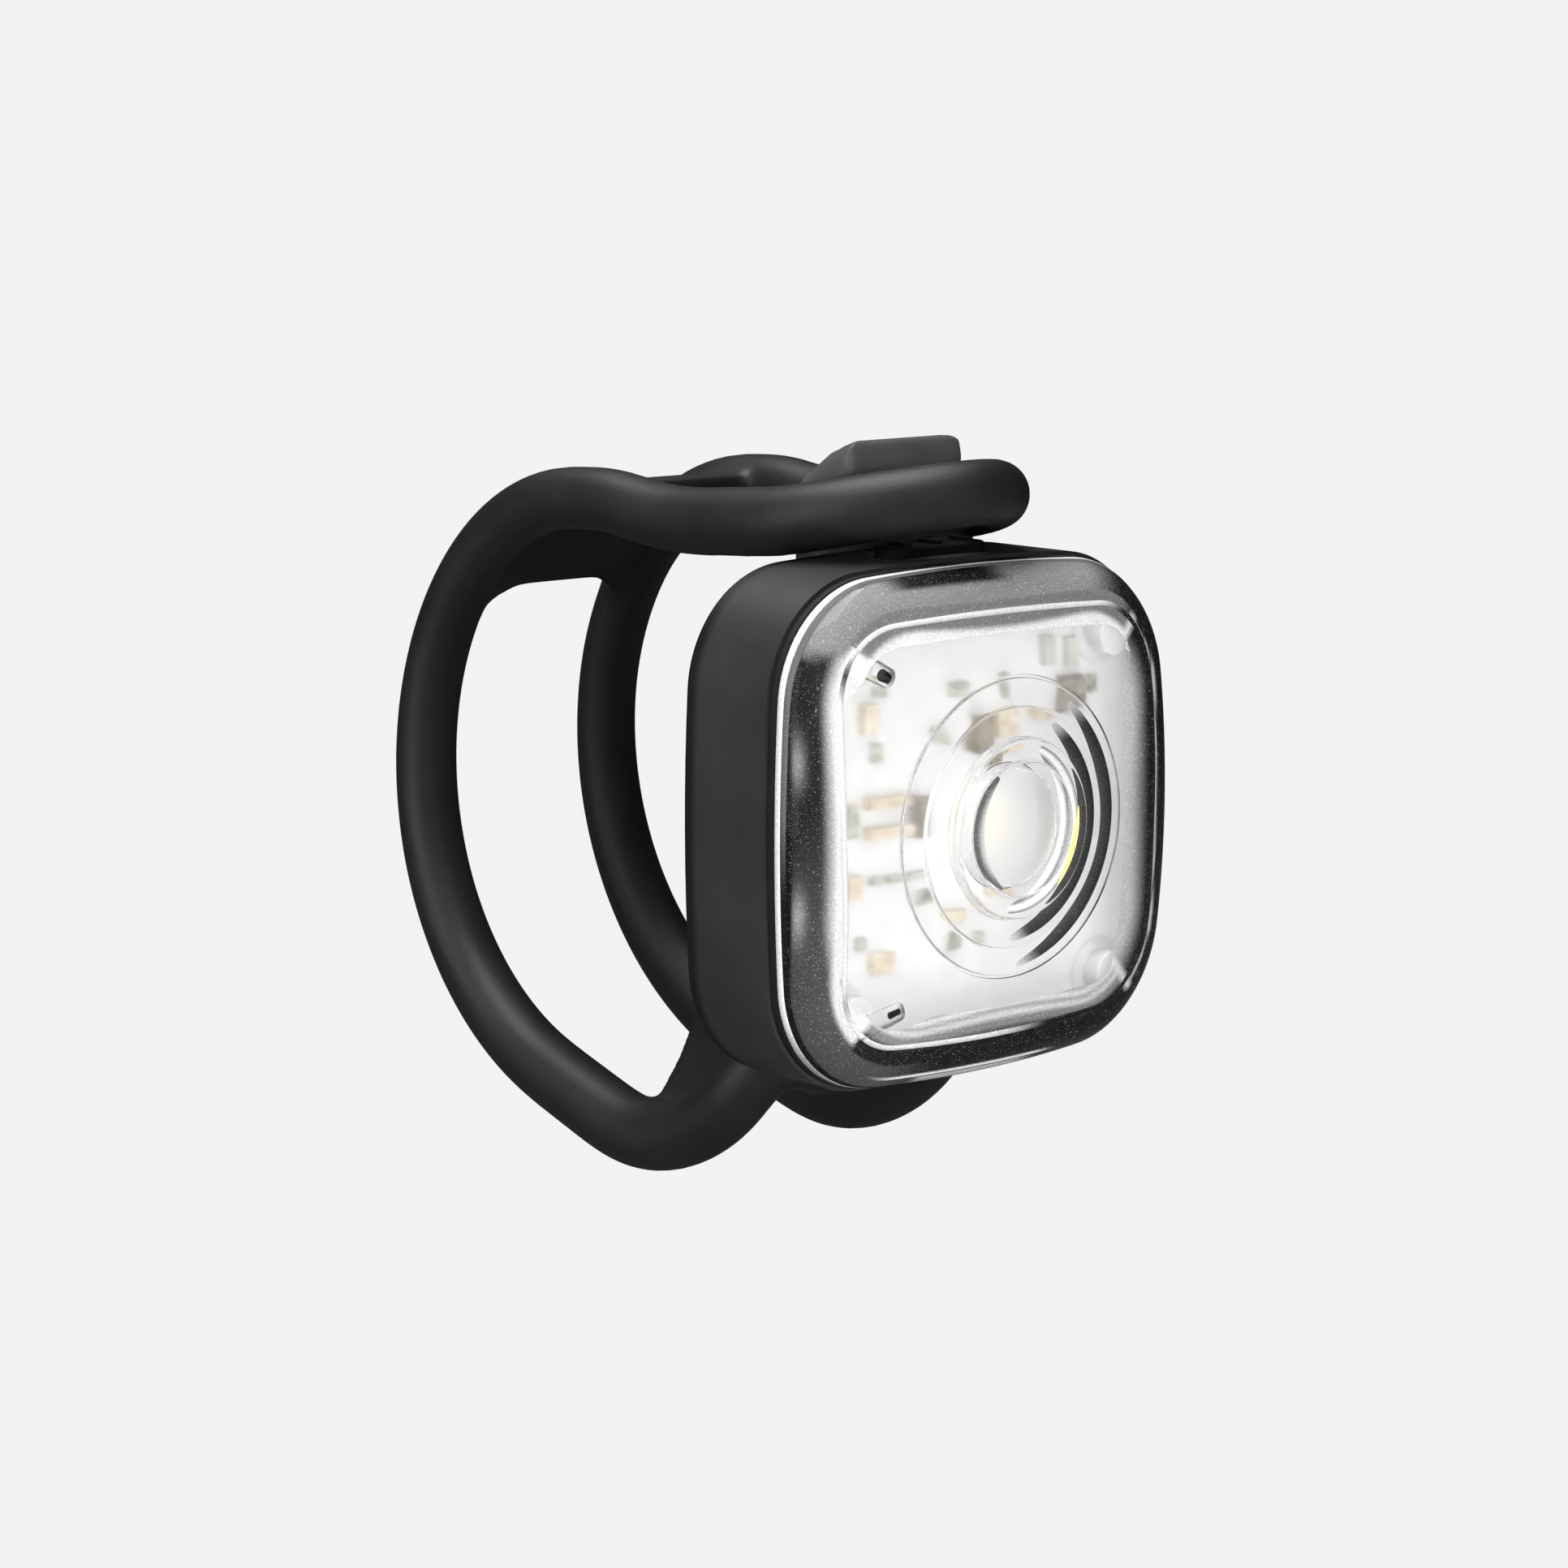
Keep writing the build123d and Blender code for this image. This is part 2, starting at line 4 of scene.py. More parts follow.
import bmesh
import bpy
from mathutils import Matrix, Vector


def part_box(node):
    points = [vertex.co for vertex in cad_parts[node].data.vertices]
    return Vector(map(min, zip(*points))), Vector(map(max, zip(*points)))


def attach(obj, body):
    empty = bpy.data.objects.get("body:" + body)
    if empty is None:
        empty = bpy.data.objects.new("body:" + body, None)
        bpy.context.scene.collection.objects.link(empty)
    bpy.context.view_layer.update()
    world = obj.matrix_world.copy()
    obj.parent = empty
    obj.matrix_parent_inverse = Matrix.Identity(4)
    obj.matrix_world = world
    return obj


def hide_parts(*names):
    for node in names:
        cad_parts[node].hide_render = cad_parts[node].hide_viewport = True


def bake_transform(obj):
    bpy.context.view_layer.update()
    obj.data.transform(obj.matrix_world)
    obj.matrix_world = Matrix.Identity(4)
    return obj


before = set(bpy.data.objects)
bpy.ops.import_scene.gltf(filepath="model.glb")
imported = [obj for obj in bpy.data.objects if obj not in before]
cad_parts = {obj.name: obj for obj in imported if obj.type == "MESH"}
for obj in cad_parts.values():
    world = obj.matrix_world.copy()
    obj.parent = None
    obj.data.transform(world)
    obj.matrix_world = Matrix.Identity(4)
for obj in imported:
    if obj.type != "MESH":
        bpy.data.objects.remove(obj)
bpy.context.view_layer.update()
scene = bpy.context.scene
mm = 0.001

# The housing's outline and the stations along it. Depths run rearwards from the housing's front edge.
shape = {
    "halfWidth": 20, "sideBow": 186, "corner": 9.5,
    "gasket": 0.7, "depth": 9.4,
    "barRadius": 15.9, "barDepth": 28,
}
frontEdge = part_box("front_gasket")[0].y / mm + shape["gasket"]


def spot(x, depth, z):
    return Vector((x, frontEdge + depth, z)) * mm


def depthOf(point):
    return point.y / mm - frontEdge


def mix(a, b, share):
    return a + (b - a) * share


def shares(count):
    # 0 to 1 in equal steps
    return [step / count for step in range(count + 1)]


def ease(value):
    value = min(1.0, max(0.0, value))
    return value * value * (3 - 2 * value)


def rising(value, start, span):
    return ease((value - start) / span)


def falling(value, end, span):
    return ease((end - value) / span)


def between(value, start, startSpan, end, endSpan):
    return rising(value, start, startSpan) * falling(value, end, endSpan)


def hump(value, middle, width):
    return exp(-((value - middle) / width) ** 2)


def outline(angle, inset):
    # distance from the beam's axis to the bowed square, at an angle from straight up
    bow, corner, quarter = shape["sideBow"], shape["corner"], pi / 2
    drop, reach = bow - shape["halfWidth"], bow - corner
    centre = (sqrt(2 * reach ** 2 - drop ** 2) - drop) / 2
    swing = atan2(centre, centre + drop)
    fold = abs((angle + quarter / 2) % quarter - quarter / 2)
    side, up = sin(fold), cos(fold)
    distance = -up * drop + sqrt((up * drop) ** 2 - drop ** 2 + (bow - inset) ** 2)
    if atan2(distance * side, distance * up + drop) <= swing:
        return distance
    along = (side + up) * centre
    return along + sqrt(along ** 2 - 2 * centre ** 2 + (corner - inset) ** 2)


def square(inset):
    return lambda angle: outline(angle, inset)


def newObject(name, mesh):
    piece = bpy.data.objects.new(name, mesh)
    scene.collection.objects.link(piece)
    return piece


def meshFrom(bm, name):
    mesh = bpy.data.meshes.new(name)
    bm.to_mesh(mesh)
    bm.free()
    return mesh


def finalMesh(holder):
    # the mesh that a helper object comes out as
    bpy.context.view_layer.update()
    mesh = bpy.data.meshes.new_from_object(holder.evaluated_get(bpy.context.evaluated_depsgraph_get()))
    bpy.data.objects.remove(holder)
    return mesh


def faceOut(bm):
    bmesh.ops.recalc_face_normals(bm, faces=bm.faces[:])


def newPiece(name, bm, body, slotName, materials, *replaced, sharp=35, turnOut=True, shadow=True):
    if turnOut:
        faceOut(bm)
    mesh = meshFrom(bm, name)
    mesh.shade_smooth()
    mesh.set_sharp_from_angle(angle=radians(sharp))
    piece = newObject(name, mesh)
    for material in materials:
        mesh.materials.append(material)
    if replaced:
        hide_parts(*replaced)
    if body:
        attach(piece, body)
    piece.visible_shadow = shadow
    return piece


def loft(bm, rings, segments=192, closed=False):
    # rings of (distance at an angle, depth at an angle and distance), functions or plain numbers
    def setRing(verts, ring):
        distanceAt, depthAt = ring
        for vert in verts:
            angle = atan2(vert.co.x, vert.co.z)
            distance = distanceAt(angle) if callable(distanceAt) else distanceAt
            depth = depthAt(angle, distance) if callable(depthAt) else depthAt
            vert.co = spot(distance * sin(angle), depth, distance * cos(angle))

    start = bmesh.ops.create_circle(bm, segments=segments, radius=1.0)["verts"]
    for number, vert in enumerate(start):
        turn = 2 * pi * number / segments
        vert.co = (sin(turn), 0, cos(turn))
    firstEdges = list({edge for vert in start for edge in vert.link_edges})
    setRing(start, rings[0])
    edges = firstEdges
    for ring in rings[1:]:
        grown = bmesh.ops.extrude_edge_only(bm, edges=edges)["geom"]
        verts = [item for item in grown if isinstance(item, bmesh.types.BMVert)]
        fresh = set(verts)
        edges = [item for item in grown if isinstance(item, bmesh.types.BMEdge) and set(item.verts) <= fresh]
        setRing(verts, ring)
    if closed:
        bmesh.ops.bridge_loops(bm, edges=firstEdges + edges)
    return edges


def capPole(bm, edges):
    verts = list({vert for edge in edges for vert in edge.verts})
    middle = sum((vert.co for vert in verts), Vector()) / len(verts)
    bmesh.ops.pointmerge(bm, verts=verts, merge_co=middle)


# Node helpers, and the grain that every material shares
def addNode(tree, kind, inputs=None, **settings):
    node = tree.nodes.new("ShaderNode" + kind)
    for name, value in settings.items():
        setattr(node, name, value)
    for name, value in (inputs or {}).items():
        node.inputs[name].default_value = value
    return node


def link(tree, *pairs):
    for source, target in pairs:
        tree.links.new(source, target)


def mapRange(tree, source, fromRange, toRange):
    names = ("From Min", "From Max", "To Min", "To Max")
    node = addNode(tree, "MapRange", dict(zip(names, (*fromRange, *toRange))))
    tree.links.new(source, node.inputs["Value"])
    return node.outputs["Result"]


grainInputs = {"Grain Scale": 5000.0, "Grain Depth": 0.1, "Mottle Scale": 300.0}


def grainGroup():
    # fine moulded grain as a normal, and a slow mottle from 0 to 1
    group = bpy.data.node_groups.new("mouldedGrain", "ShaderNodeTree")
    for name, value in grainInputs.items():
        socket = group.interface.new_socket(name=name, in_out="INPUT", socket_type="NodeSocketFloat")
        socket.default_value = value
    for name, kind in (("Normal", "NodeSocketVector"), ("Mottle", "NodeSocketFloat")):
        group.interface.new_socket(name=name, in_out="OUTPUT", socket_type=kind)
    start = group.nodes.new("NodeGroupInput").outputs
    end = group.nodes.new("NodeGroupOutput").inputs
    place = addNode(group, "TexCoord").outputs["Object"]
    grain = addNode(group, "TexNoise", {"Detail": 3})
    mottle = addNode(group, "TexNoise", {"Detail": 4})
    bump = addNode(group, "Bump", {"Distance": 0.00005})
    link(group, (place, grain.inputs["Vector"]), (place, mottle.inputs["Vector"]),
         (start["Grain Scale"], grain.inputs["Scale"]), (start["Mottle Scale"], mottle.inputs["Scale"]),
         (start["Grain Depth"], bump.inputs["Strength"]), (grain.outputs["Fac"], bump.inputs["Height"]),
         (bump.outputs["Normal"], end["Normal"]), (mottle.outputs["Fac"], end["Mottle"]))
    return group


mouldedGrain = grainGroup()


def colour(grey):
    return (*grey, 1.0) if isinstance(grey, tuple) else (grey, grey, grey, 1.0)


def newMaterial(name, sockets):
    material = bpy.data.materials.new(name)
    material.use_nodes = True
    shader = material.node_tree.nodes["Principled BSDF"]
    for socket, value in sockets.items():
        shader.inputs[socket].default_value = value
    return material, material.node_tree, shader


finishes = {
    # two near colours, two near roughnesses, the grain's scale and depth, the mottle's scale, then its nodes
    "nylonBlack": (0.019, 0.027, (0.42, 0.52), (4200, 0.25, 160), "housing"),
    "siliconeBlack": (0.008, 0.012, (0.46, 0.56), (3800, 0.3, 140), "port_flap"),
    # a lighter copy of the housing's black nylon: painted light, for the brighter light on the hook
    "hookBlackLit": (0.065, 0.085, (0.42, 0.55), (4200, 0.3, 160)),
    "gasketBlack": (0.003, 0.007, (0.7, 0.85), (6000, 0.6, 400), "front_gasket"),
    # painted shade: the button is darker than its own black, for the shade under the strap's loop
    "buttonBlackShaded": (0.003, 0.006, (0.6, 0.75), (5000, 0.25, 200), "power_button"),
    "maskWhite": (0.54, 0.6, (0.3, 0.42), (2500, 0.3, 500), "main_board"),
    "maskGreen": ((0.01, 0.07, 0.03), (0.02, 0.12, 0.05), (0.3, 0.4), (2500, 0.3, 500), "guard_board"),
    "sleeveWhite": (0.46, 0.52, (0.5, 0.65), (2500, 0.3, 500)),
    "ceramicWhite": (0.75, 0.85, (0.3, 0.4), (5000, 0.2, 900), "led_base"),
    "phosphorReflectionYellow": ((0.78, 0.62, 0.16), (0.86, 0.72, 0.24), (0.25, 0.35), (6000, 0.2, 900)),
    "phosphorPale": ((0.74, 0.68, 0.46), (0.8, 0.75, 0.55), (0.3, 0.4), (6000, 0.2, 900), "led_phosphor"),
    "epoxyGrey": ((0.14, 0.13, 0.11), (0.34, 0.32, 0.28), (0.5, 0.7), (5000, 0.5, 3000),
                  "driver_chip", "charger_chip"),
    "padGreen": ((0.12, 0.13, 0.1), (0.5, 0.51, 0.44), (0.4, 0.6), (5000, 0.4, 1400), "resistors"),
    "ferriteGrey": ((0.16, 0.14, 0.11), (0.3, 0.27, 0.22), (0.5, 0.7), (5000, 0.5, 900), "inductor"),
    "ceramicTan": ((0.4, 0.335, 0.235), (0.62, 0.57, 0.47), (0.35, 0.5), (5000, 0.3, 1500), "capacitors"),
    "gelCream": ((0.36, 0.37, 0.33), (0.47, 0.47, 0.43), (0.25, 0.35), (5000, 0.2, 900), "signal_leds"),
    "steelBlack": (0.03, 0.06, (0.3, 0.45), (4000, 0.3, 900), "case_screws", "bracket_screws"),
    "steelPlated": (0.45, 0.6, (0.25, 0.38), (4000, 0.2, 500), "switch_body", "socket_shell"),
    "plasticBlack": (0.012, 0.02, (0.35, 0.5), (5000, 0.3, 500), "switch_plunger", "socket_tongue"),
    "foilSilver": (0.5, 0.65, (0.35, 0.5), (1800, 0.8, 300), "battery_cell"),
    "foamDark": (0.01, 0.03, (0.85, 0.95), (3000, 1, 900), "battery_pad"),
    "sheathRed": ((0.35, 0.012, 0.01), (0.5, 0.02, 0.015), (0.4, 0.5), (5000, 0.2, 500), "battery_lead_red"),
    "sheathBlack": (0.012, 0.02, (0.4, 0.5), (5000, 0.2, 500), "battery_lead_black"),
}
moreSockets = {
    "buttonBlackShaded": {"Specular IOR Level": 0.1},
    "steelBlack": {"Metallic": 1.0},
    "steelPlated": {"Metallic": 1.0},
    "foilSilver": {"Metallic": 0.9},
}
tintRange = (0.3, 0.7)  # where the mottle turns from the first colour to the second


def grainy(name, dark, light, roughness, grain):
    # a moulded or painted finish
    material, tree, shader = newMaterial(name, moreSockets.get(name, {}))
    effect = addNode(tree, "Group", dict(zip(grainInputs, grain)), node_tree=mouldedGrain)
    tint = addNode(tree, "ValToRGB")
    for element, position, tone in zip(tint.color_ramp.elements, tintRange, (dark, light)):
        element.position, element.color = position, colour(tone)
    mottle = effect.outputs["Mottle"]
    link(tree, (mottle, tint.inputs["Fac"]), (tint.outputs["Color"], shader.inputs["Base Color"]),
         (mapRange(tree, mottle, (0, 1), roughness), shader.inputs["Roughness"]),
         (effect.outputs["Normal"], shader.inputs["Normal"]))
    return material


roundingShadeFacts = {
    # the painted shade band's two depths, the shares of it where it is darkest, and how dark it is
    "depths": (7.6, 9.41),
    "darkest": (0.45, 0.94), "dark": 0.001,
}


def paintedShadeOnRounding(material):
    # painted shade: the case's rear rounding is painted darker than its walls, standing in for the dark
    # surroundings it reflects
    tree = material.node_tree
    base = tree.nodes["Principled BSDF"].inputs["Base Color"]
    place = addNode(tree, "TexCoord")
    split = addNode(tree, "SeparateXYZ")
    depths = [spot(0, depth, 0).y for depth in roundingShadeFacts["depths"]]
    band = addNode(tree, "ValToRGB")
    for position in roundingShadeFacts["darkest"]:
        band.color_ramp.elements.new(position).color = colour(1)
    band.color_ramp.elements[0].color = band.color_ramp.elements[-1].color = colour(0)
    mixed = addNode(tree, "Mix", data_type="RGBA")
    mixed.inputs["B"].default_value = colour(roundingShadeFacts["dark"])
    link(tree, (base.links[0].from_socket, mixed.inputs["A"]),
         (place.outputs["Object"], split.inputs["Vector"]),
         (mapRange(tree, split.outputs["Y"], depths, (0, 1)), band.inputs["Fac"]),
         (band.outputs["Color"], mixed.inputs["Factor"]), (mixed.outputs["Result"], base))


clearSockets = {"Transmission Weight": 1.0, "Base Color": colour(1.0), "Specular Tint": colour(0.15)}


def clear(name, roughness, index=1.49):
    # clear plastic whose polish varies slightly
    material, tree, shader = newMaterial(name, {**clearSockets, "IOR": index})
    effect = addNode(tree, "Group", {"Mottle Scale": 150}, node_tree=mouldedGrain)
    link(tree, (mapRange(tree, effect.outputs["Mottle"], (0, 1), roughness), shader.inputs["Roughness"]))
    return material


frostFacts = {
    "darkest": 0.002,
    # the noise that makes the grain, what it does to the grey, and the noise that sparkles
    "grainNoise": (0.35, 0.65),
    "grainRange": (0.86, 1.14), "sparkleNoise": (0.62, 0.78),
}


def frostWithPaintedLight(name, sparkle, roughness):
    # frosted plastic whose grey, stored on the mesh, is painted light and shade, with bright sparkling specks
    material, tree, shader = newMaterial(name, {"Roughness": roughness, "Specular IOR Level": 0.12})
    shade = addNode(tree, "Attribute", attribute_name="shade")
    place = addNode(tree, "TexCoord")
    specks = addNode(tree, "TexNoise", {"Scale": 8000, "Detail": 2})
    noise = specks.outputs["Fac"]
    grained = addNode(tree, "Math", operation="MULTIPLY")
    sparkling = addNode(tree, "Math", operation="ADD")
    link(tree, (place.outputs["Object"], specks.inputs["Vector"]), (shade.outputs["Fac"], grained.inputs[0]),
         (mapRange(tree, noise, frostFacts["grainNoise"], frostFacts["grainRange"]), grained.inputs[1]),
         (grained.outputs["Value"], sparkling.inputs[0]),
         (mapRange(tree, noise, frostFacts["sparkleNoise"], (0, sparkle)), sparkling.inputs[1]),
         (sparkling.outputs["Value"], shader.inputs["Base Color"]))
    return material


finish = {}
for finishName, (dark, light, roughness, grain, *wearers) in finishes.items():
    finish[finishName] = grainy(finishName, dark, light, roughness, grain)
    for nodeName in wearers:
        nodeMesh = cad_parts[nodeName].data
        nodeMesh.materials.clear()
        nodeMesh.materials.append(finish[finishName])
        nodeMesh.shade_smooth()
        nodeMesh.set_sharp_from_angle(angle=radians(30))
# painted shade on the housing's rear rounding
paintedShadeOnRounding(finish["nylonBlack"])
lensFinishes = [clear(name, *facts) for name, *facts in (
    ("lensClear", (0, 0.015)), ("lensInside", (0.23, 0.28)), ("lensBowl", (0.75, 0.9)),
    ("lensHole", (0, 0.02), 1.1))]
# frosted finishes whose stored greys are painted light and shade inside the lens
skirtFrostAndPaintedLight = frostWithPaintedLight("skirtFrostAndPaintedLight", 0.3, 0.45)
ringFrostAndPaintedLight = frostWithPaintedLight("ringFrostAndPaintedLight", 0.16, 0.5)
print("materials")

# The lens: domed front with a rounded edge, ring optic, window recess and collecting bowl behind
lensFacts = {
    "inset": 0.45, "apex": 6.3, "dome": 90,
    "edgeRound": 3.7, "edgeSteps": 14, "domeSteps": 9,
    "window": 4.2, "windowDepth": 2.3, "windowRound": 0.9,
    "windowFoot": 0.15,
    # radii of the outer and the inner groove, the boss and the disc
    "rings": (11.6, 9.45, 6.86, 5.15),
    "grooveWidth": 0.26, "grooveDepth": 0.18, "grooveSlant": 0.03,
    "wallSlant": 0.12, "bossRise": 0.75, "bossFoot": 0.02,
    "bossRound": 0.42, "channelDepth": 0.2, "channelRound": 0.06,
    "discRise": 0.12, "discRound": 0.3, "discDish": 0.25,
    "bowlRim": 0.4, "bowl": ((4.75, -2.3), (4.45, -4.7), (0.02, -4.8)),
    "bowlRound": 0.15, "bowlFinish": 4.7, "pole": 0.02,
    "skin": 0.95,
}


def domeDepth(distance):
    dome = lensFacts["dome"]
    return dome - lensFacts["apex"] - sqrt(dome ** 2 - distance ** 2)


def belowDome(under):
    return lambda angle, distance: domeDepth(distance) + under


postFacts = {
    # root and blind end of each corner hole
    "holes": (((-15.2, -3.4, 14.2), (-11.1, -3.6, 12)), ((-14.6, -3.3, -14.1), (-9.9, -3.6, -12.8)),
              ((15.4, -3, 13.9), (14.3, -3.2, 11.8)), ((15.4, -3, -13.9), (14.4, -3.2, -12.2))),
    "radius": (1, 0.78), "rimRound": 0.25,
    # radius and length of the tips, upper one first
    "tips": ((0.58, 0.8), (0.34, 1)),
    "tipGap": 0.15, "tipTaper": 0.8, "tipRound": 0.08,
    # distance from the middle both ways, then each part's radius and its front and back depths
    "sleevePlace": 13,
    "sleeveParts": ((1.55, -2.1, 0.28), (2.6, 0.1, 0.28)), "sleeveRound": 0.15,
}


def rod(bm, start, end, radius, endRadius):
    made = bmesh.ops.create_cone(
        bm, cap_ends=True, segments=40, radius1=radius * mm, radius2=endRadius * mm,
        depth=(end - start).length)["verts"]
    turn = Vector((0, 0, 1)).rotation_difference(end - start).to_matrix()
    bmesh.ops.rotate(bm, verts=made, matrix=turn)
    bmesh.ops.translate(bm, verts=made, vec=(start + end) / 2)
    return made


def roundRims(bm, edges, size):
    # bevels the edges that turn by more than 60 degrees
    rims = [edge for edge in edges if edge.calc_face_angle() > radians(60)]
    return bmesh.ops.bevel(
        bm, geom=rims, offset=size * mm, segments=3, affect="EDGES", profile=0.5, material=-1)["verts"]


def edgeMiddle(angle):
    # distance and depth of the centre that the rounded edge turns about
    dome, rounding = lensFacts["dome"], lensFacts["edgeRound"]
    middle = outline(angle, lensFacts["inset"]) - rounding
    return middle, dome - lensFacts["apex"] - sqrt((dome - rounding) ** 2 - middle ** 2)


def edgeSpot(angle, turn, under=0.0):
    # distance and depth of a place on or under the rounded edge, at a turn
    middle, middleDepth = edgeMiddle(angle)
    reach = lensFacts["edgeRound"] - under
    return middle + reach * cos(turn), middleDepth - reach * sin(turn)


def edgeArc(angle, share):
    # the same for a share of the edge: 0 at the seat, 1 where it runs into the dome
    middle, middleDepth = edgeMiddle(angle)
    low = asin(max(0.0, (middleDepth + shape["gasket"]) / lensFacts["edgeRound"]))
    high = acos(middle / (lensFacts["dome"] - lensFacts["edgeRound"]))
    distance, depth = edgeSpot(angle, mix(low, high, share))
    return distance, min(-shape["gasket"] - 0.01, depth)


def ringThrough(spotAt, *facts):
    # a ring of places that are each given as distance and depth
    return lambda angle: spotAt(angle, *facts)[0], lambda angle, distance: spotAt(angle, *facts)[1]


def seatEdge(angle):
    return edgeArc(angle, 0)[0]


def frontRings():
    rings = [(seatEdge, -shape["gasket"])]
    rings += [ringThrough(edgeArc, share) for share in shares(lensFacts["edgeSteps"])]
    outer = lensFacts["rings"][0]
    for share in shares(lensFacts["domeSteps"])[1:-1]:
        rings.append((lambda angle, share=share: mix(edgeArc(angle, 1)[0], outer, share), belowDome(0)))
    return rings


def turnedRings(profile, rounding=0.09):
    # rings for a turned profile of (radius, depth, rounding) corners
    points = [Vector(point[:2]) for point in profile]
    rings = [points[0]]
    for before, corner, after, facts in zip(points, points[1:], points[2:], profile[1:]):
        toBefore, toAfter = before - corner, after - corner
        wanted = facts[2] if len(facts) > 2 else rounding
        cut = min(wanted, toBefore.length * 0.48, toAfter.length * 0.48)
        enter = corner + toBefore.normalized() * cut
        leave = corner + toAfter.normalized() * cut
        for share in shares(8 if wanted > 0.15 else 2):
            rings.append(enter.lerp(corner, share).lerp(corner.lerp(leave, share), share))
    rings.append(points[-1])
    return [tuple(point) for point in rings]


def opticProfile():
    # the two grooves, then the boss, the channel round the disc and the dished disc
    facts = lensFacts
    ringA, ringB, ringC, ringD = facts["rings"]
    cut, slant, slope = facts["grooveDepth"], facts["grooveSlant"], facts["wallSlant"]
    boss = domeDepth(ringC) - facts["bossRise"]
    disc = boss - facts["discRise"]
    profile = [(ringA, domeDepth(ringA))]
    for radius in (ringA, ringB):
        inside = radius - facts["grooveWidth"]
        profile += [(radius - slant, domeDepth(radius) + cut), (inside, domeDepth(inside) + cut),
                    (inside - slant, domeDepth(inside))]
    profile += [(ringC + slope, domeDepth(ringC) + facts["bossFoot"]), (ringC, boss, facts["bossRound"]),
                (ringD + slope, boss + facts["channelDepth"], facts["channelRound"]),
                (ringD, disc, facts["discRound"]), (facts["pole"], disc - facts["discDish"])]
    return profile


def backRings():
    # seat, window wall with a rounded top edge, flat window, then the bowl
    seat = -shape["gasket"]
    window, depth, rounding = lensFacts["window"], lensFacts["windowDepth"], lensFacts["windowRound"]
    foot, rim = lensFacts["windowFoot"], lensFacts["rings"][2] + lensFacts["bowlRim"]
    rings = [(seatEdge, seat), (square(window - foot), seat), (square(window), seat - foot)]
    for share in shares(6):
        turn = radians(90 * share)
        inset = window + rounding * (1 - cos(turn))
        rings.append((square(inset), -(depth - rounding) - rounding * sin(turn)))
    for share in (0.25, 0.5, 0.75):
        rings.append((
            lambda angle, share=share: mix(outline(angle, window + rounding), rim, share), -depth
        ))
    return rings + turnedRings([(rim, -depth), *lensFacts["bowl"]], lensFacts["bowlRound"])


def buildLens():
    insideSlot, bowlSlot, holeSlot = 1, 2, 3  # of the lens's four finishes
    bm = bmesh.new()
    capPole(bm, loft(bm, frontRings() + turnedRings(opticProfile())))
    capPole(bm, loft(bm, backRings()))
    bmesh.ops.remove_doubles(bm, verts=bm.verts[:], dist=0.000001)
    faceOut(bm)
    # blind holes in the corners, so their walls face inwards
    for root, end in postFacts["holes"]:
        hole = rod(bm, spot(*root), spot(*end), *postFacts["radius"])
        rounded = roundRims(bm, {edge for vert in hole for edge in vert.link_edges}, postFacts["rimRound"])
        left = [vert for vert in hole if vert.is_valid]
        around = {face for vert in list(rounded) + left for face in vert.link_faces}
        bmesh.ops.reverse_faces(bm, faces=list(around))
        for face in around:
            face.material_index = holeSlot
    piece = newPiece("lensBody", bm, "light", "clear_lens", lensFinishes, "lens", sharp=50, turnOut=False,
                     shadow=False)
    for face in piece.data.polygons:
        if face.material_index == holeSlot:
            continue
        x, z = abs(face.center.x) / mm, abs(face.center.z) / mm
        distance = hypot(x, z)
        behindDome = depthOf(face.center) > domeDepth(distance) + lensFacts["skin"]
        if behindDome and distance < outline(atan2(x, z), lensFacts["window"] - 0.1):
            face.material_index = bowlSlot if distance < lensFacts["bowlFinish"] else insideSlot


buildLens()
print("lens")


def lensPiece(name, bm, material, toneAt=None):
    # a piece inside the lens; each point of a frosted one stores its grey, which is painted light and shade
    piece = newPiece(name, bm, "light", "clear_lens", [material], sharp=50, shadow=False)
    if toneAt:
        shade = piece.data.attributes.new("shade", "FLOAT", "POINT")
        for vert, value in zip(piece.data.vertices, shade.data):
            tone = toneAt(vert.co.x / mm, vert.co.z / mm, depthOf(vert.co))
            value.value = max(frostFacts["darkest"], tone)


def closedBand(name, profile, material, toneAt):
    # a thin closed band round the beam's axis
    bm = bmesh.new()
    loft(bm, profile, closed=True)
    lensPiece(name, bm, material, toneAt)


rimFacts = {
    # depths and stand of each rim, tones above and below, and the height and span of their change
    "lensRimBright": (-0.72, -1.3, 0.05, 0.74, 0.24, -14.5, 5),
    "lensRimFrostedAndShaded": (-1.32, -1.8, 0.03, 0.13, 0.006, 0, 9),
}
rimSection = ((0, 0.3), (0.06, 1), (0.5, 1), (0.94, 1), (1, 0.3))  # shares of its width and of its stand
rimSunk = 0.12


def sideRing(depth, grow):
    # follows the lens's outer face at a depth, growing out of it
    def distanceAt(angle):
        middle, middleDepth = edgeMiddle(angle)
        rise = max(0.0, middleDepth - depth)
        return middle + sqrt(max(0.0, lensFacts["edgeRound"] ** 2 - rise ** 2)) + grow
    return distanceAt, depth


# partly the rims' own frosted white and grey, partly painted shade: each is painted paler above and darker
# lower down
for rimName, (near, far, stand, above, below, height, span) in rimFacts.items():
    outside = [sideRing(mix(near, far, along), stand * high) for along, high in rimSection]
    closedBand(rimName, outside + [sideRing(far, -rimSunk), sideRing(near, -rimSunk)], ringFrostAndPaintedLight,
               lambda x, z, depth: mix(below, above, ease(0.5 + (z - height) / span)))


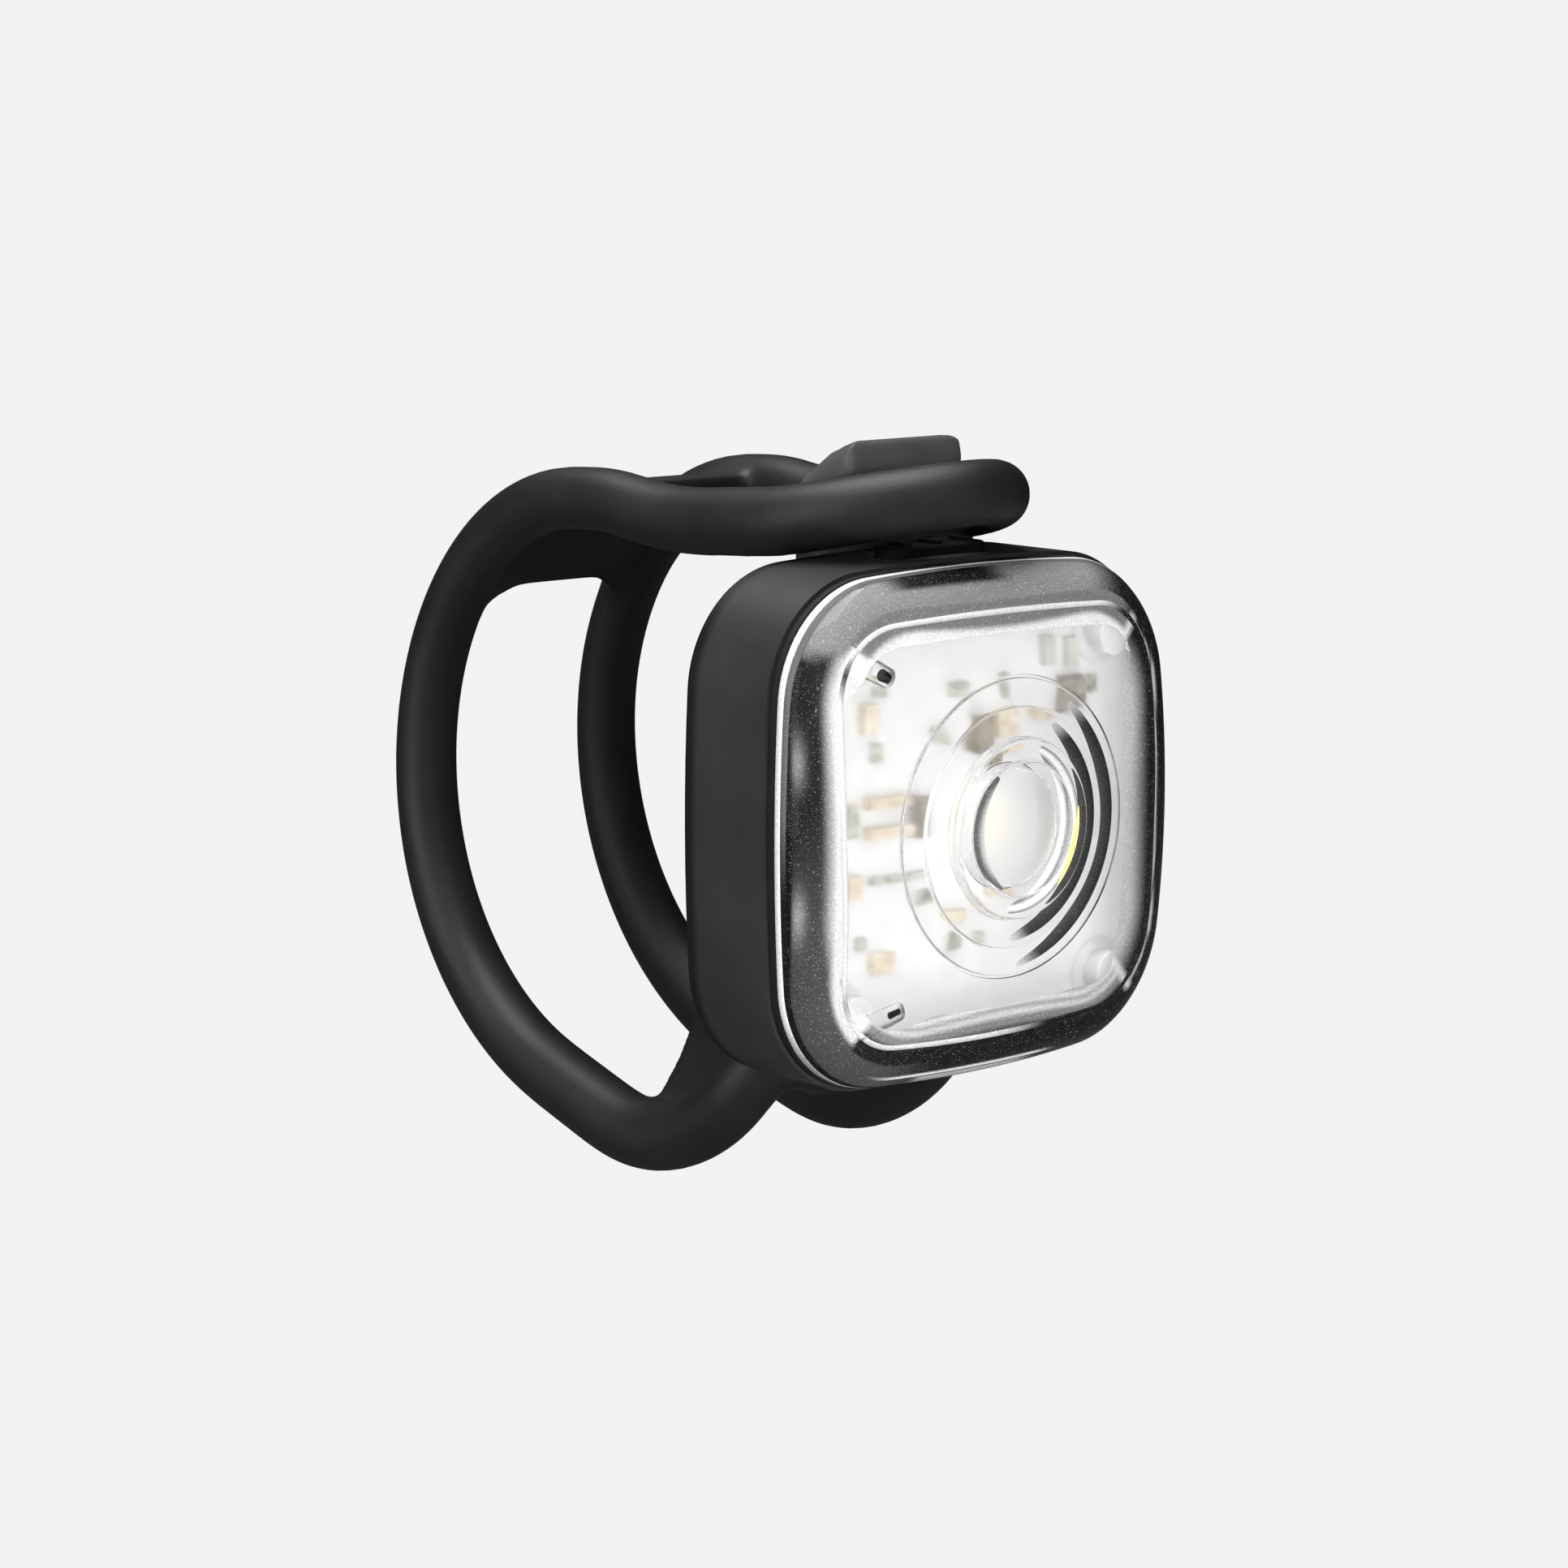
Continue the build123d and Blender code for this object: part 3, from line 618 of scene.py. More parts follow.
# The frosted skirt under the rounded edge, painted with light and shade: bright above and black below, with
# painted highlights and reflections
skirtFacts = {
    "under": 0.25, "turns": (14, 72),
    "turnSteps": 20, "turnLimit": 80, "below": 0.004,
    "window": 0.58, "wall": 0.4, "sideStart": -12,
    "lowStart": -12,
    # painted light and shade tones and where they show: angles from straight up, widths, heights and turns,
    # each with its fading span
    "above": (0.175, (13.7, 1.1), (40, 12)),
    "flank": ((0.007, 0.045), (4, 12), (-148, 14, -40, 6)),
    "corner": (0.055, (-118, 8), (-6, 6)), "shadow": ((-11, 3, 2.5, 3), (46, 10)),
    "patch": (0.2, (6.5, -4.9), 1.7, (27, 9)), "sideTurn": (17, 4),
    "lowLine": (1.1, (-12.5, 3, 7, 3), (44, 2)),
    "glint": (0.4, (-8, 1.2, 5, 2.4), (40, 3)), "windowTurns": (53, 66),
    "windowDrop": (-5, 6), "windowSpan": 28,
}


def skirtShade(x, z, turn):
    # painted light and shade of the rounded edge: a grey band above, dark flanks, a painted shadow, painted
    # reflections and highlights
    # x and z on the beam's face in millimetres, turn on the rounded edge in degrees
    facts = skirtFacts
    angle = degrees(atan2(x, z))
    onSide = x < facts["sideStart"]
    top, heights, angles = facts["above"]
    above = rising(z, *heights) if x < 0 else falling(angle, *angles)
    flanks, heights, arc = facts["flank"]
    corner, angles, widths = facts["corner"]
    tone = facts["below"]
    for other, share in (
        (mix(*flanks, falling(z, *heights)), between(angle, *arc)),
        (top, above),
        (corner, falling(angle, *angles) * falling(x, *widths)),
    ):
        tone = max(tone, mix(tone, other, share))
    if z > 0:
        widths, turns = facts["shadow"]
        tone = mix(tone, facts["below"], between(x, *widths) * falling(turn, *turns))
    if onSide:
        # painted reflections: two soft pale patches on the left flank, then a painted dark line by its outer
        # edge
        patch, places, height, turns = facts["patch"]
        for place in places:
            tone += patch * hump(z, place, height) * hump(turn, *turns)
        tone = mix(frostFacts["darkest"], tone, rising(turn, *facts["sideTurn"]))
    if z < facts["lowStart"]:
        # a pale painted highlight line along the lowest edge, and a duller painted reflection patch under it
        line, widths, turns = facts["lowLine"]
        tone += line * between(x, *widths) * hump(turn, *turns)
        glint, widths, turns = facts["glint"]
        tone = mix(tone, glint, between(x, *widths) * falling(turn, *turns))
    # the lit board seen through the window, painted as a pale tone along the left
    if onSide:
        start = mix(*facts["windowTurns"], falling(z, *facts["windowDrop"]))
        tone = mix(tone, facts["window"], rising(turn, start, facts["windowSpan"]) * (1 - above))
    return tone


# The frosted land between the rounded edge and the window, wider along the right and the bottom, painted with
# light and shade
landFacts = {
    "start": 3.2, "inset": 5.3,
    # how much wider it is along a side, and the angles where that starts and ends, with their spans
    "sides": ((2.2, 48, 8, 138, 8), (0.9, 128, 8, 218, 12), (-1.75, 226, 14, 312, 12)),
    "rows": (0, 0.05, 0.08, 0.11, 0.17, 0.25, 0.33, 0.42, 0.5, 0.58, 0.67, 0.75, 0.83, 0.92, 1),
    "under": 0.35,
    # inset past the land and depth under the dome of each row over the lip
    "lip": ((0.04, 0.42), (-0.2, 0.5), (-0.4, 0.6)),
    "wallInset": 4.02, "wallStep": 0.45, "wallTop": 0.8,
    "wallDepths": (-3.6, -3.2, -2.8, -2.4, -2, -1.6, -1.2, -0.85),
    "seat": (0.95, -0.78),
    # insets where it and the wall behind it start, and its greatest depth under the dome
    "landFrom": 2.9, "wallFrom": 3, "landDepth": 0.7,
    # painted light and shade tones, and the insets, widths or depths over which they change
    "dark": 0.004,
    "top": (0.14, (4.55, 0.6)), "topRight": (0.02, (13.2, 1.2)), "right": (4.3, 3.2),
    "line": (0.5, (3.54, 0.1)), "low": (4, 1.8), "lowWave": (0.75, 0.25, 4.6, 7),
    "left": (2.9, 0.6), "wall": (0.03, (-4, 2.6)),
}


def landEdge(angle):
    # inset of the land's inner border from the housing's outline
    turn = degrees(angle) % 360
    inset = landFacts["inset"]
    for wider, *arc in landFacts["sides"]:
        inset += wider * between(turn, *arc)
    return inset


def wallInset(angle):
    return outline(angle, min(landFacts["wallInset"], landEdge(angle) - landFacts["wallStep"]))


def landTone(x, z, inset, tone):
    # painted light and shade: a grey band above, a dark-to-pale gradient with a painted highlight line on the
    # right, pale streaks below
    facts, window = landFacts, skirtFacts["window"]
    if z > abs(x):
        (top, insets), (right, widths) = facts["top"], facts["topRight"]
        return mix(mix(top, window, rising(inset, *insets)), right, rising(x, *widths))
    if x > abs(z):
        line, place = facts["line"]
        lit = mix(facts["dark"], skirtFacts["wall"], rising(inset, *facts["right"]))
        return lit + line * hump(inset, *place)
    if -z > abs(x):
        middle, swing, start, pace = facts["lowWave"]
        soft = middle + swing * cos((inset - start) * pace)
        return mix(facts["dark"], window * soft, rising(inset, *facts["low"]))
    return mix(tone, window, rising(inset, *facts["left"]))


def skirtTone(x, z, depth):
    angle, distance = atan2(x, z), hypot(x, z)
    inset = outline(angle, 0) - distance
    middle, middleDepth = edgeMiddle(angle)
    turn = degrees(atan2(middleDepth - depth, distance - middle))
    tone = skirtShade(x, z, min(turn, skirtFacts["turnLimit"]))
    if inset > landFacts["landFrom"] and depth < domeDepth(distance) + landFacts["landDepth"]:
        return landTone(x, z, inset, tone)
    if inset > landFacts["wallFrom"]:
        # inner wall, painted shade: dark at its front edge and pale down by the board
        dark, depths = landFacts["wall"]
        return mix(dark, skirtFacts["wall"], rising(depth, *depths))
    return tone


def landRing(share, past, under):
    start = landFacts["start"]
    return lambda angle: outline(angle, mix(start, landEdge(angle), share) + past), belowDome(under)


def buildSkirt():
    turns = [radians(mix(*skirtFacts["turns"], share)) for share in shares(skirtFacts["turnSteps"])]
    rings = [ringThrough(edgeSpot, turn, skirtFacts["under"]) for turn in turns]
    rings += [landRing(share, 0, landFacts["under"]) for share in landFacts["rows"]]
    rings += [landRing(1, past, under) for past, under in landFacts["lip"]]
    rings.append((wallInset, belowDome(landFacts["wallTop"])))
    rings += [(wallInset, depth) for depth in landFacts["wallDepths"]]
    inset, depth = landFacts["seat"]
    rings.append((square(inset), depth))
    closedBand("lensSkirt", rings, skirtFrostAndPaintedLight, skirtTone)


buildSkirt()

# A fine round bead inside the lens along the window's edge, painted pale as a highlight line above and below,
# pale as the board on the left, and dark elsewhere
beadFacts = {
    "radius": 0.23, "sides": 8, "under": 0.36,
    "insets": (4.05, 3.7),
    "dark": 0.004, "pale": 0.55,
    "topArc": (-52, 10, 42, 10), "lowArc": (162, 22, 236, 8),
    "leftArc": (-130, 8, -50, 8),
}


def beadTone(x, z, depth):
    angle = degrees(atan2(x, z))
    tone = mix(beadFacts["dark"], beadFacts["pale"], between(angle, *beadFacts["topArc"]))
    tone = mix(tone, beadFacts["pale"], between(angle % 360, *beadFacts["lowArc"]))
    return mix(tone, skirtFacts["window"], between(angle, *beadFacts["leftArc"]))


def buildBead():
    rings = []
    for step in range(beadFacts["sides"]):
        turn = 2 * pi * step / beadFacts["sides"]
        shift, rise = beadFacts["radius"] * cos(turn), beadFacts["radius"] * sin(turn)
        rings.append((
            lambda angle, shift=shift:
                outline(angle, mix(*beadFacts["insets"], ease(0.5 + cos(angle)))) + shift,
            lambda angle, distance, shift=shift, rise=rise:
                domeDepth(distance - shift) + beadFacts["under"] - rise,
        ))
    closedBand("windowHighlightBead", rings, skirtFrostAndPaintedLight, beadTone)


buildBead()

# Slanted walls of the ring optic painted dark as the shaded crescents seen there, and the collector's wall
# round the lamp
stepFacts = {
    # front radius and depth, greatest inward reach and rise, angles where it starts and ends, end bluntness
    "steps": ((10.85, -5, 0.85, 1.4, 34, 176, 0.42), (8.68, -5, 1.12, 1.5, 30, 180, 0.34)),
    "collector": (6.5, -5.55, 1.2, 2.2, 22, 188, 0.42),
    "phosphor": (6.42, -5.85, 0.3, 0.42, 80, 140, 1),
    "discShade": (4.85, -6.5, 1, 0.35, 205, 330, 0.6),
    "thickness": 0.05, "least": 0.02,
    # painted light and shade tones: of a step at its ends and down its slope, the angle between them, and of
    # the other two walls
    "ends": 0.45,
    "slopeTones": (0.014, 0.0392), "fade": 16, "collectorWave": (0.42, 0.3, 5),
    "discTones": (0.1, 0.5),
}


def partialStep(name, facts, material, toneAt=None):
    # a slanted wall that grows from nothing and goes back to nothing between two angles
    radius, depth, reach, rise, start, end, blunt = facts
    least = stepFacts["least"]

    def share(angle):
        return (degrees(angle) % 360 - start) / (end - start)

    def swell(angle):
        along = min(1.0, max(0.0, share(angle)))
        return least + (1 - least) * sin(pi * along) ** blunt

    def place(angle, down, grow):
        return radius + grow - reach * down * swell(angle), depth + rise * down * swell(angle)

    downs = (0, 0.08, 0.2, 0.4, 0.6, 0.8, 1)
    inside = [ringThrough(place, down, 0) for down in downs]
    outside = [ringThrough(place, down, stepFacts["thickness"]) for down in reversed(downs)]
    bm = bmesh.new()
    loft(bm, inside + outside, segments=360, closed=True)
    beyond = [vert for vert in bm.verts if not 0 < share(atan2(vert.co.x, vert.co.z)) < 1]
    bmesh.ops.delete(bm, geom=beyond, context="VERTS")
    bmesh.ops.holes_fill(bm, edges=[edge for edge in bm.edges if edge.is_boundary])
    lensPiece(name, bm, material, toneAt)


def slopeTone(facts, least, more, ends=None):
    # painted shade: paler down its slope, and with another tone at both ends
    _, front, _, rise, start, end, _ = facts
    fade = stepFacts["fade"]

    def toneAt(x, z, depth):
        slope = least + more * rising(depth, front, rise)
        if ends is None:
            return slope
        return mix(ends, slope, between(degrees(atan2(x, z)) % 360, start, fade, end, fade))

    return toneAt


def collectorTone(x, z, depth):
    # painted reflection: pale and darker bands down the collector's wall
    middle, swing, pace = stepFacts["collectorWave"]
    return middle + swing * cos(depth * pace)


for number, facts in enumerate(stepFacts["steps"]):
    partialStep(f"ringStepShade{number}", facts, ringFrostAndPaintedLight,
                slopeTone(facts, *stepFacts["slopeTones"], stepFacts["ends"]))
partialStep("collectorWall", stepFacts["collector"], skirtFrostAndPaintedLight, collectorTone)
# a painted reflection of the lamp's yellow phosphor
partialStep("phosphorGlow", stepFacts["phosphor"], finish["phosphorReflectionYellow"])
partialStep("discShade", stepFacts["discShade"], skirtFrostAndPaintedLight,
            slopeTone(stepFacts["discShade"], *stepFacts["discTones"]))


def buildScrewTips():
    # dark screw tips at the ends of the corner holes, and white sleeves round the case screws
    facts = postFacts
    tips, sleeves = bmesh.new(), bmesh.new()
    gap = facts["tipGap"]
    for (root, end), (radius, length) in zip(facts["holes"], facts["tips"]):
        root, end = spot(*root), spot(*end)
        along = (end - root).normalized() * mm
        rod(tips, end - along * (length + gap), end - along * gap, radius, radius * facts["tipTaper"])
    place = facts["sleevePlace"]
    for x in (-place, place):
        for z in (-place, place):
            for radius, front, back in facts["sleeveParts"]:
                rod(sleeves, spot(x, back, z), spot(x, front, z), radius, radius)
    roundRims(tips, tips.edges, facts["tipRound"])
    roundRims(sleeves, sleeves.edges, facts["sleeveRound"])
    newPiece("screwTips", tips, "light", "black_steel", [finish["steelBlack"]], shadow=False)
    newPiece("screwSleeves", sleeves, "light", "clear_lens", [finish["sleeveWhite"]], shadow=False)


buildScrewTips()
print("lens details")

# The strap: one silicone moulding, shaped from its course round the bar
strapFacts = {
    "root": (13.4, -21.7), "buried": ((6, 12.4, -17), (8.8, 11.6, -18.9)),
    "buriedLength": 7.1, "heading": -49.6,
    # radius and turn in degrees of each bend, and 0 with a length for the straight one
    "bends": ((19.2, 36.5), (11.2, 29.6), (0, 8.7), (25.3, 112.4), (21.2, 33.7), (17.9, 17.4)),
    "pointGap": 2.6, "halfSpacing": 9.77, "lean": 1.19,
    "arms": ((9.17, 31.4, 22.72), (9.08, 28, 22.2), (9, 24.5, 21.72), (9, 21, 21.68),
             (9.06, 17.5, 21.95), (9.12, 14.3, 22.2)),
    "loopWidth": 9.15, "loopBack": 11.4, "loopTip": -1.15,
    "loopPower": 1.75, "loopRise": (22.4, 24.95),
    "loopLift": 1.15, "loopSteps": 8,
    # distance along the cord and its radius there
    "thickness": ((0, 2.66), (8, 2.86), (18, 2.98), (27, 2.95), (45, 2.76), (60, 2.62), (80, 2.52),
                  (94, 2.58), (105, 2.68), (116, 2.76), (124, 2.7), (140, 2.52)),
    "voxel": 0.32, "smoothing": 14,
    # the seat under the housing: lowest and highest points, reach past its back, and gap
    "seat": (-22, -15, 0.05, 0.04),
    # depth and height where the bend at the crown starts and ends when the free end is lifted
    "bendStart": (39.5, 22.4),
    "bendEnd": (34.55, 27.35),
}


def strapCourse():
    # (x, depth, z) points of the right cord, from its root round the bar to the crown
    depth, z = strapFacts["root"]
    heading = radians(strapFacts["heading"])
    course = [(depth, z)]
    for radius, amount in strapFacts["bends"]:
        turn = radians(amount) if radius else 0.0
        count = max(2, round(radius * turn / strapFacts["pointGap"])) if radius else 3
        step = turn / count
        chord = 2 * radius * sin(step / 2) if radius else amount / count
        for _ in range(count):
            depth += cos(heading + step / 2) * chord
            z += sin(heading + step / 2) * chord
            heading += step
            course.append((depth, z))
    lean = tan(radians(strapFacts["lean"]))
    return [(strapFacts["halfSpacing"] - lean * z, depth, z) for depth, z in course]


def loopEnd():
    # the half of the free end's loop from the right arm to the tip
    facts = strapFacts
    back, tip, power = facts["loopBack"], facts["loopTip"], 2 / facts["loopPower"]
    low, high = facts["loopRise"]
    points = []
    for share in shares(facts["loopSteps"]):
        turn = radians(90 * share)
        forward = sin(turn) ** power
        across = cos(turn) ** power if share < 1 else 0.0
        points.append((facts["loopWidth"] * across, mix(back, tip, forward),
                       mix(low, high, forward ** facts["loopLift"])))
    return points


def heightAt(stations, place):
    # height of the line through (place, height) stations, level past its ends
    for (start, first), (end, second) in zip(stations, stations[1:]):
        if place <= end:
            return mix(first, second, max(0.0, (place - start) / (end - start)))
    return stations[-1][1]


def cordMesh():
    # each cord's root turns inwards and is buried in the tongue
    half = list(strapFacts["buried"]) + strapCourse() + list(strapFacts["arms"]) + loopEnd()
    route = half + [(-x, depth, z) for x, depth, z in reversed(half[:-1])]
    curve = bpy.data.curves.new("strapCords", "CURVE")
    curve.dimensions = "3D"
    curve.bevel_depth = mm
    curve.bevel_resolution = 7
    curve.resolution_u = 6
    curve.use_fill_caps = True
    spline = curve.splines.new("NURBS")
    spline.points.add(len(route) - 1)
    travels = [0.0]
    for before, after in zip(half, half[1:]):
        travels.append(travels[-1] + (Vector(after) - Vector(before)).length)
    travels += travels[-2::-1]
    for point, station, travel in zip(spline.points, route, travels):
        point.co = (*spot(*station), 1.0)
        point.radius = heightAt(strapFacts["thickness"], travel - strapFacts["buriedLength"])
    spline.order_u = 4
    spline.use_endpoint_u = True
    return finalMesh(newObject("strapCords", curve))


def extruded(points, halfWidth, cuts=0):
    # a flat outline of (depth, z) points, given width along X
    bm = bmesh.new()
    face = bm.faces.new([bm.verts.new(spot(-halfWidth, depth, z)) for depth, z in points])
    grown = bmesh.ops.extrude_face_region(bm, geom=[face])["geom"]
    moved = [item for item in grown if isinstance(item, bmesh.types.BMVert)]
    bmesh.ops.translate(bm, verts=moved, vec=(2 * halfWidth * mm, 0, 0))
    faceOut(bm)
    if cuts:
        long = [edge for edge in bm.edges if abs(edge.verts[0].co.x - edge.verts[1].co.x) > halfWidth * mm]
        bmesh.ops.subdivide_edges(bm, edges=long, cuts=cuts, use_grid_fill=True)
    return bm


def meltTogether(name, bm, facts):
    # joins closed shapes into one skin and eases its edges
    rough = meshFrom(bm, name)
    holder = newObject(name, rough)
    union = holder.modifiers.new("union", "REMESH")
    union.mode = "VOXEL"
    union.voxel_size = facts["voxel"] * mm
    mesh = finalMesh(holder)
    joined = bmesh.new()
    joined.from_mesh(mesh)
    for spent in (rough, mesh):
        bpy.data.meshes.remove(spent)
    for _ in range(facts["smoothing"]):
        bmesh.ops.smooth_vert(
            joined, verts=joined.verts[:], factor=0.5, use_axis_x=True, use_axis_y=True, use_axis_z=True)
    return joined


tongueFacts = {
    "halfWidth": 9,
    "outline": ((9.5, -9.5), (16.2, -9.9), (18.2, -12.2), (19.7, -14.2), (21.6, -18), (23.6, -21.6),
                (26.2, -25.4), (25.6, -27), (23, -27.3), (19.4, -25.9), (15, -23.4), (11, -21.9),
                (5.4, -21.35), (5.4, -20), (9.5, -20)),
    "cuts": 16, "crotchRadius": 6.4, "crotchDepth": 27.9,
    "crotchTop": -14,
    # how far the underside is drawn up between the cords, below which height and behind which depth
    "hollow": 1.7,
    "hollowPlace": (-21, 9),
}


def tongueMesh():
    facts = tongueFacts
    bm = extruded(facts["outline"], facts["halfWidth"], facts["cuts"])
    hollowTop, hollowFront = facts["hollowPlace"]
    for vert in bm.verts:
        x, depth, z = vert.co.x / mm, depthOf(vert.co), vert.co.z / mm
        inside = facts["crotchRadius"] ** 2 - x ** 2
        if inside > 0:
            limit = facts["crotchDepth"] - sqrt(inside)
            if depth > limit and z < facts["crotchTop"]:
                vert.co.y = (frontEdge + limit) * mm
            if z < hollowTop and depth > hollowFront:
                vert.co.z += facts["hollow"] * ease(1 - abs(x) / facts["crotchRadius"]) * mm
    return meshFrom(bm, "strapTongue")


bridgeFacts = {
    "halfWidth": 9.4, "thickness": 2.3, "cuts": 30,
    # distances along the cords where it starts and ends
    "start": 75.2, "end": 96.5,
    "cordReach": 2.4, "fillet": (4.6, 5), "filletFade": 5,
}


def bridgeMesh():
    # the web between the cords over the shoulder, as a strip along their course
    facts = bridgeFacts
    course = [Vector(point) for point in strapCourse() + [strapFacts["arms"][0]]]
    travel, strip = 0.0, []
    for before, after in zip(course, course[1:]):
        length, along = (after - before).length, (after - before).normalized()
        for cut in (0.25, 0.5, 0.75, 1.0):
            if facts["start"] <= travel + cut * length <= facts["end"]:
                middle = before.lerp(after, cut)
                strip.append((middle.y, middle.z, Vector((-along.z, along.y))))
        travel += length
    half = facts["thickness"] / 2
    outer, inner = ([(depth + side.x * out, z + side.y * out) for depth, z, side in strip]
                    for out in (half, -half))
    bm = extruded(outer + inner[::-1], facts["halfWidth"], facts["cuts"])
    # the lower edge runs down along both cords in a fillet
    width, height = facts["fillet"]
    depth, z, side = strip[0]
    down = Vector((0, -side.y, side.x)) * mm
    cord = strapFacts["halfSpacing"] - facts["cordReach"]
    for vert in bm.verts:
        across = min(1.0, max(0.0, (abs(vert.co.x) / mm - (cord - width)) / width))
        away = hypot(vert.co.z / mm - z, depthOf(vert.co) - depth)
        low = 1 - ease(away / facts["filletFade"])
        vert.co += down * height * (1 - sqrt(1 - across ** 2)) * low
    return meshFrom(bm, "strapWeb")


def buildStrap():
    bm = bmesh.new()
    for mesh in (cordMesh(), tongueMesh(), bridgeMesh()):
        bm.from_mesh(mesh)
        bpy.data.meshes.remove(mesh)
    bm = meltTogether("strapRough", bm, strapFacts)
    # flat seat against the housing's underside
    lowest, highest, past, gap = strapFacts["seat"]
    for vert in bm.verts:
        if lowest < vert.co.z / mm < highest and depthOf(vert.co) < shape["depth"] + past:
            angle = atan2(vert.co.x, vert.co.z)
            vert.co.z = min(vert.co.z, outline(angle, -gap) * cos(angle) * mm)
    piece = newPiece("strap", bm, None, "strap_silicone", [finish["siliconeBlack"]], "strap_band_left",
                     "strap_band_right", "strap_bridge", "strap_loop", "strap_boot", sharp=70)
    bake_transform(piece)
    print("strap", len(piece.data.polygons))


buildStrap()

# The saddle pad between the housing's back and the bar, with grip grooves
saddleFacts = {
    "halfWidth": 8.6,
    # angles round the bar where it ends, above and below
    "topReach": 57, "lowReach": -42, "arcSteps": 220,
    "top": 14.5, "topLip": (0.3, 0.7), "lowLip": (0.4, 1.2),
    "groove": 0.4, "grooves": 12, "backGap": 0.02,
    "voxel": 0.2, "smoothing": 6,
}
backFace = (frontEdge + shape["depth"] + 0.01) * mm


def buildSaddle():
    facts = saddleFacts
    bar, centre = shape["barRadius"], shape["barDepth"]
    arc = []
    for share in shares(facts["arcSteps"]):
        reach = radians(mix(facts["topReach"], facts["lowReach"], share))
        wave = max(0.0, cos(2 * pi * facts["grooves"] * share)) ** 3
        radius = bar + facts["groove"] * wave
        arc.append((centre - radius * cos(reach), radius * sin(reach)))
    back = shape["depth"] + facts["backGap"]
    top, (fall, topFront), (lowFront, drop) = facts["top"], facts["topLip"], facts["lowLip"]
    (firstDepth, _), (lastDepth, lastHeight) = arc[0], arc[-1]
    profile = [(back, top - fall), (firstDepth - topFront, top)] + arc
    profile += [(lastDepth - lowFront, lastHeight - drop), (back, lastHeight - drop)]
    bm = meltTogether("saddleRough", extruded(profile, facts["halfWidth"]), facts)
    for vert in bm.verts:
        vert.co.y = max(vert.co.y, backFace)
    newPiece("saddlePad", bm, "light", "strap_silicone", [finish["siliconeBlack"]], "strap_boot", sharp=40)


buildSaddle()

# The hook with its back plate
hookFacts = {
    "halfWidth": 6,
    "outline": ((9.42, 10), (9.42, 21.5), (9.1, 24.2), (6, 26.2), (6.5, 28.85), (9.3, 27.85),
                (12.1, 26), (13.5, 23.4), (13, 21), (12.7, 14.6), (11.1, 12.9), (11.1, 10)),
    "top": ((6.5, 28.85), (9.3, 27.85), (12.1, 26), (13.5, 23.4)),
    "topEnd": 13.4, "topEase": 0.15, "lipFrom": 20.5,
    "corner": 1.6, "voxel": 0.22, "smoothing": 34,
}


def buildHook():
    facts = hookFacts
    bm = meltTogether("hookRough", extruded(facts["outline"], facts["halfWidth"]), facts)
    width, corner = facts["halfWidth"], facts["corner"]
    for vert in bm.verts:
        if vert.co.z < facts["lipFrom"] * mm:
            vert.co.y = max(vert.co.y, backFace)
            continue
        # the lip's upper corners, seen from the front, are round
        top = heightAt(facts["top"], min(facts["topEnd"], depthOf(vert.co))) - facts["topEase"]
        across, up = abs(vert.co.x) / mm - (width - corner), vert.co.z / mm - (top - corner)
        if across > 0 and up > 0 and hypot(across, up) > corner:
            share = corner / hypot(across, up)
            vert.co.x = copysign(width - corner + across * share, vert.co.x) * mm
            vert.co.z = (top - corner + up * share) * mm
    # painted light: the hook wears a lighter copy of the housing's black nylon
    newPiece("hook", bm, "light", "housing_nylon", [finish["hookBlackLit"]], "hook_bracket", sharp=70)


buildHook()
print("saddle and hook")

# Camera, lights and floor
cameraFacts = {
    "azimuth": -41.08, "elevation": 9.53, "distance": 294.52,
    "target": (-18.01, 0, 4.58),
    "lens": 92.25, "sensor": 36,
}


def aim(thing, along):
    thing.rotation_mode = "QUATERNION"
    thing.rotation_quaternion = along.to_track_quat("-Z", "Y")


def buildCamera():
    facts = cameraFacts
    turn, lift = radians(facts["azimuth"]), radians(facts["elevation"])
    back = Vector((sin(turn) * cos(lift), -cos(turn) * cos(lift), sin(lift)))
    data = bpy.data.cameras.new("studioCamera")
    data.lens = facts["lens"]
    data.sensor_width = facts["sensor"]
    data.clip_start, data.clip_end = 0.01, 20
    camera = newObject("studioCamera", data)
    camera.location = spot(*facts["target"]) + back * facts["distance"] * mm
    aim(camera, -back)
    scene.camera = camera


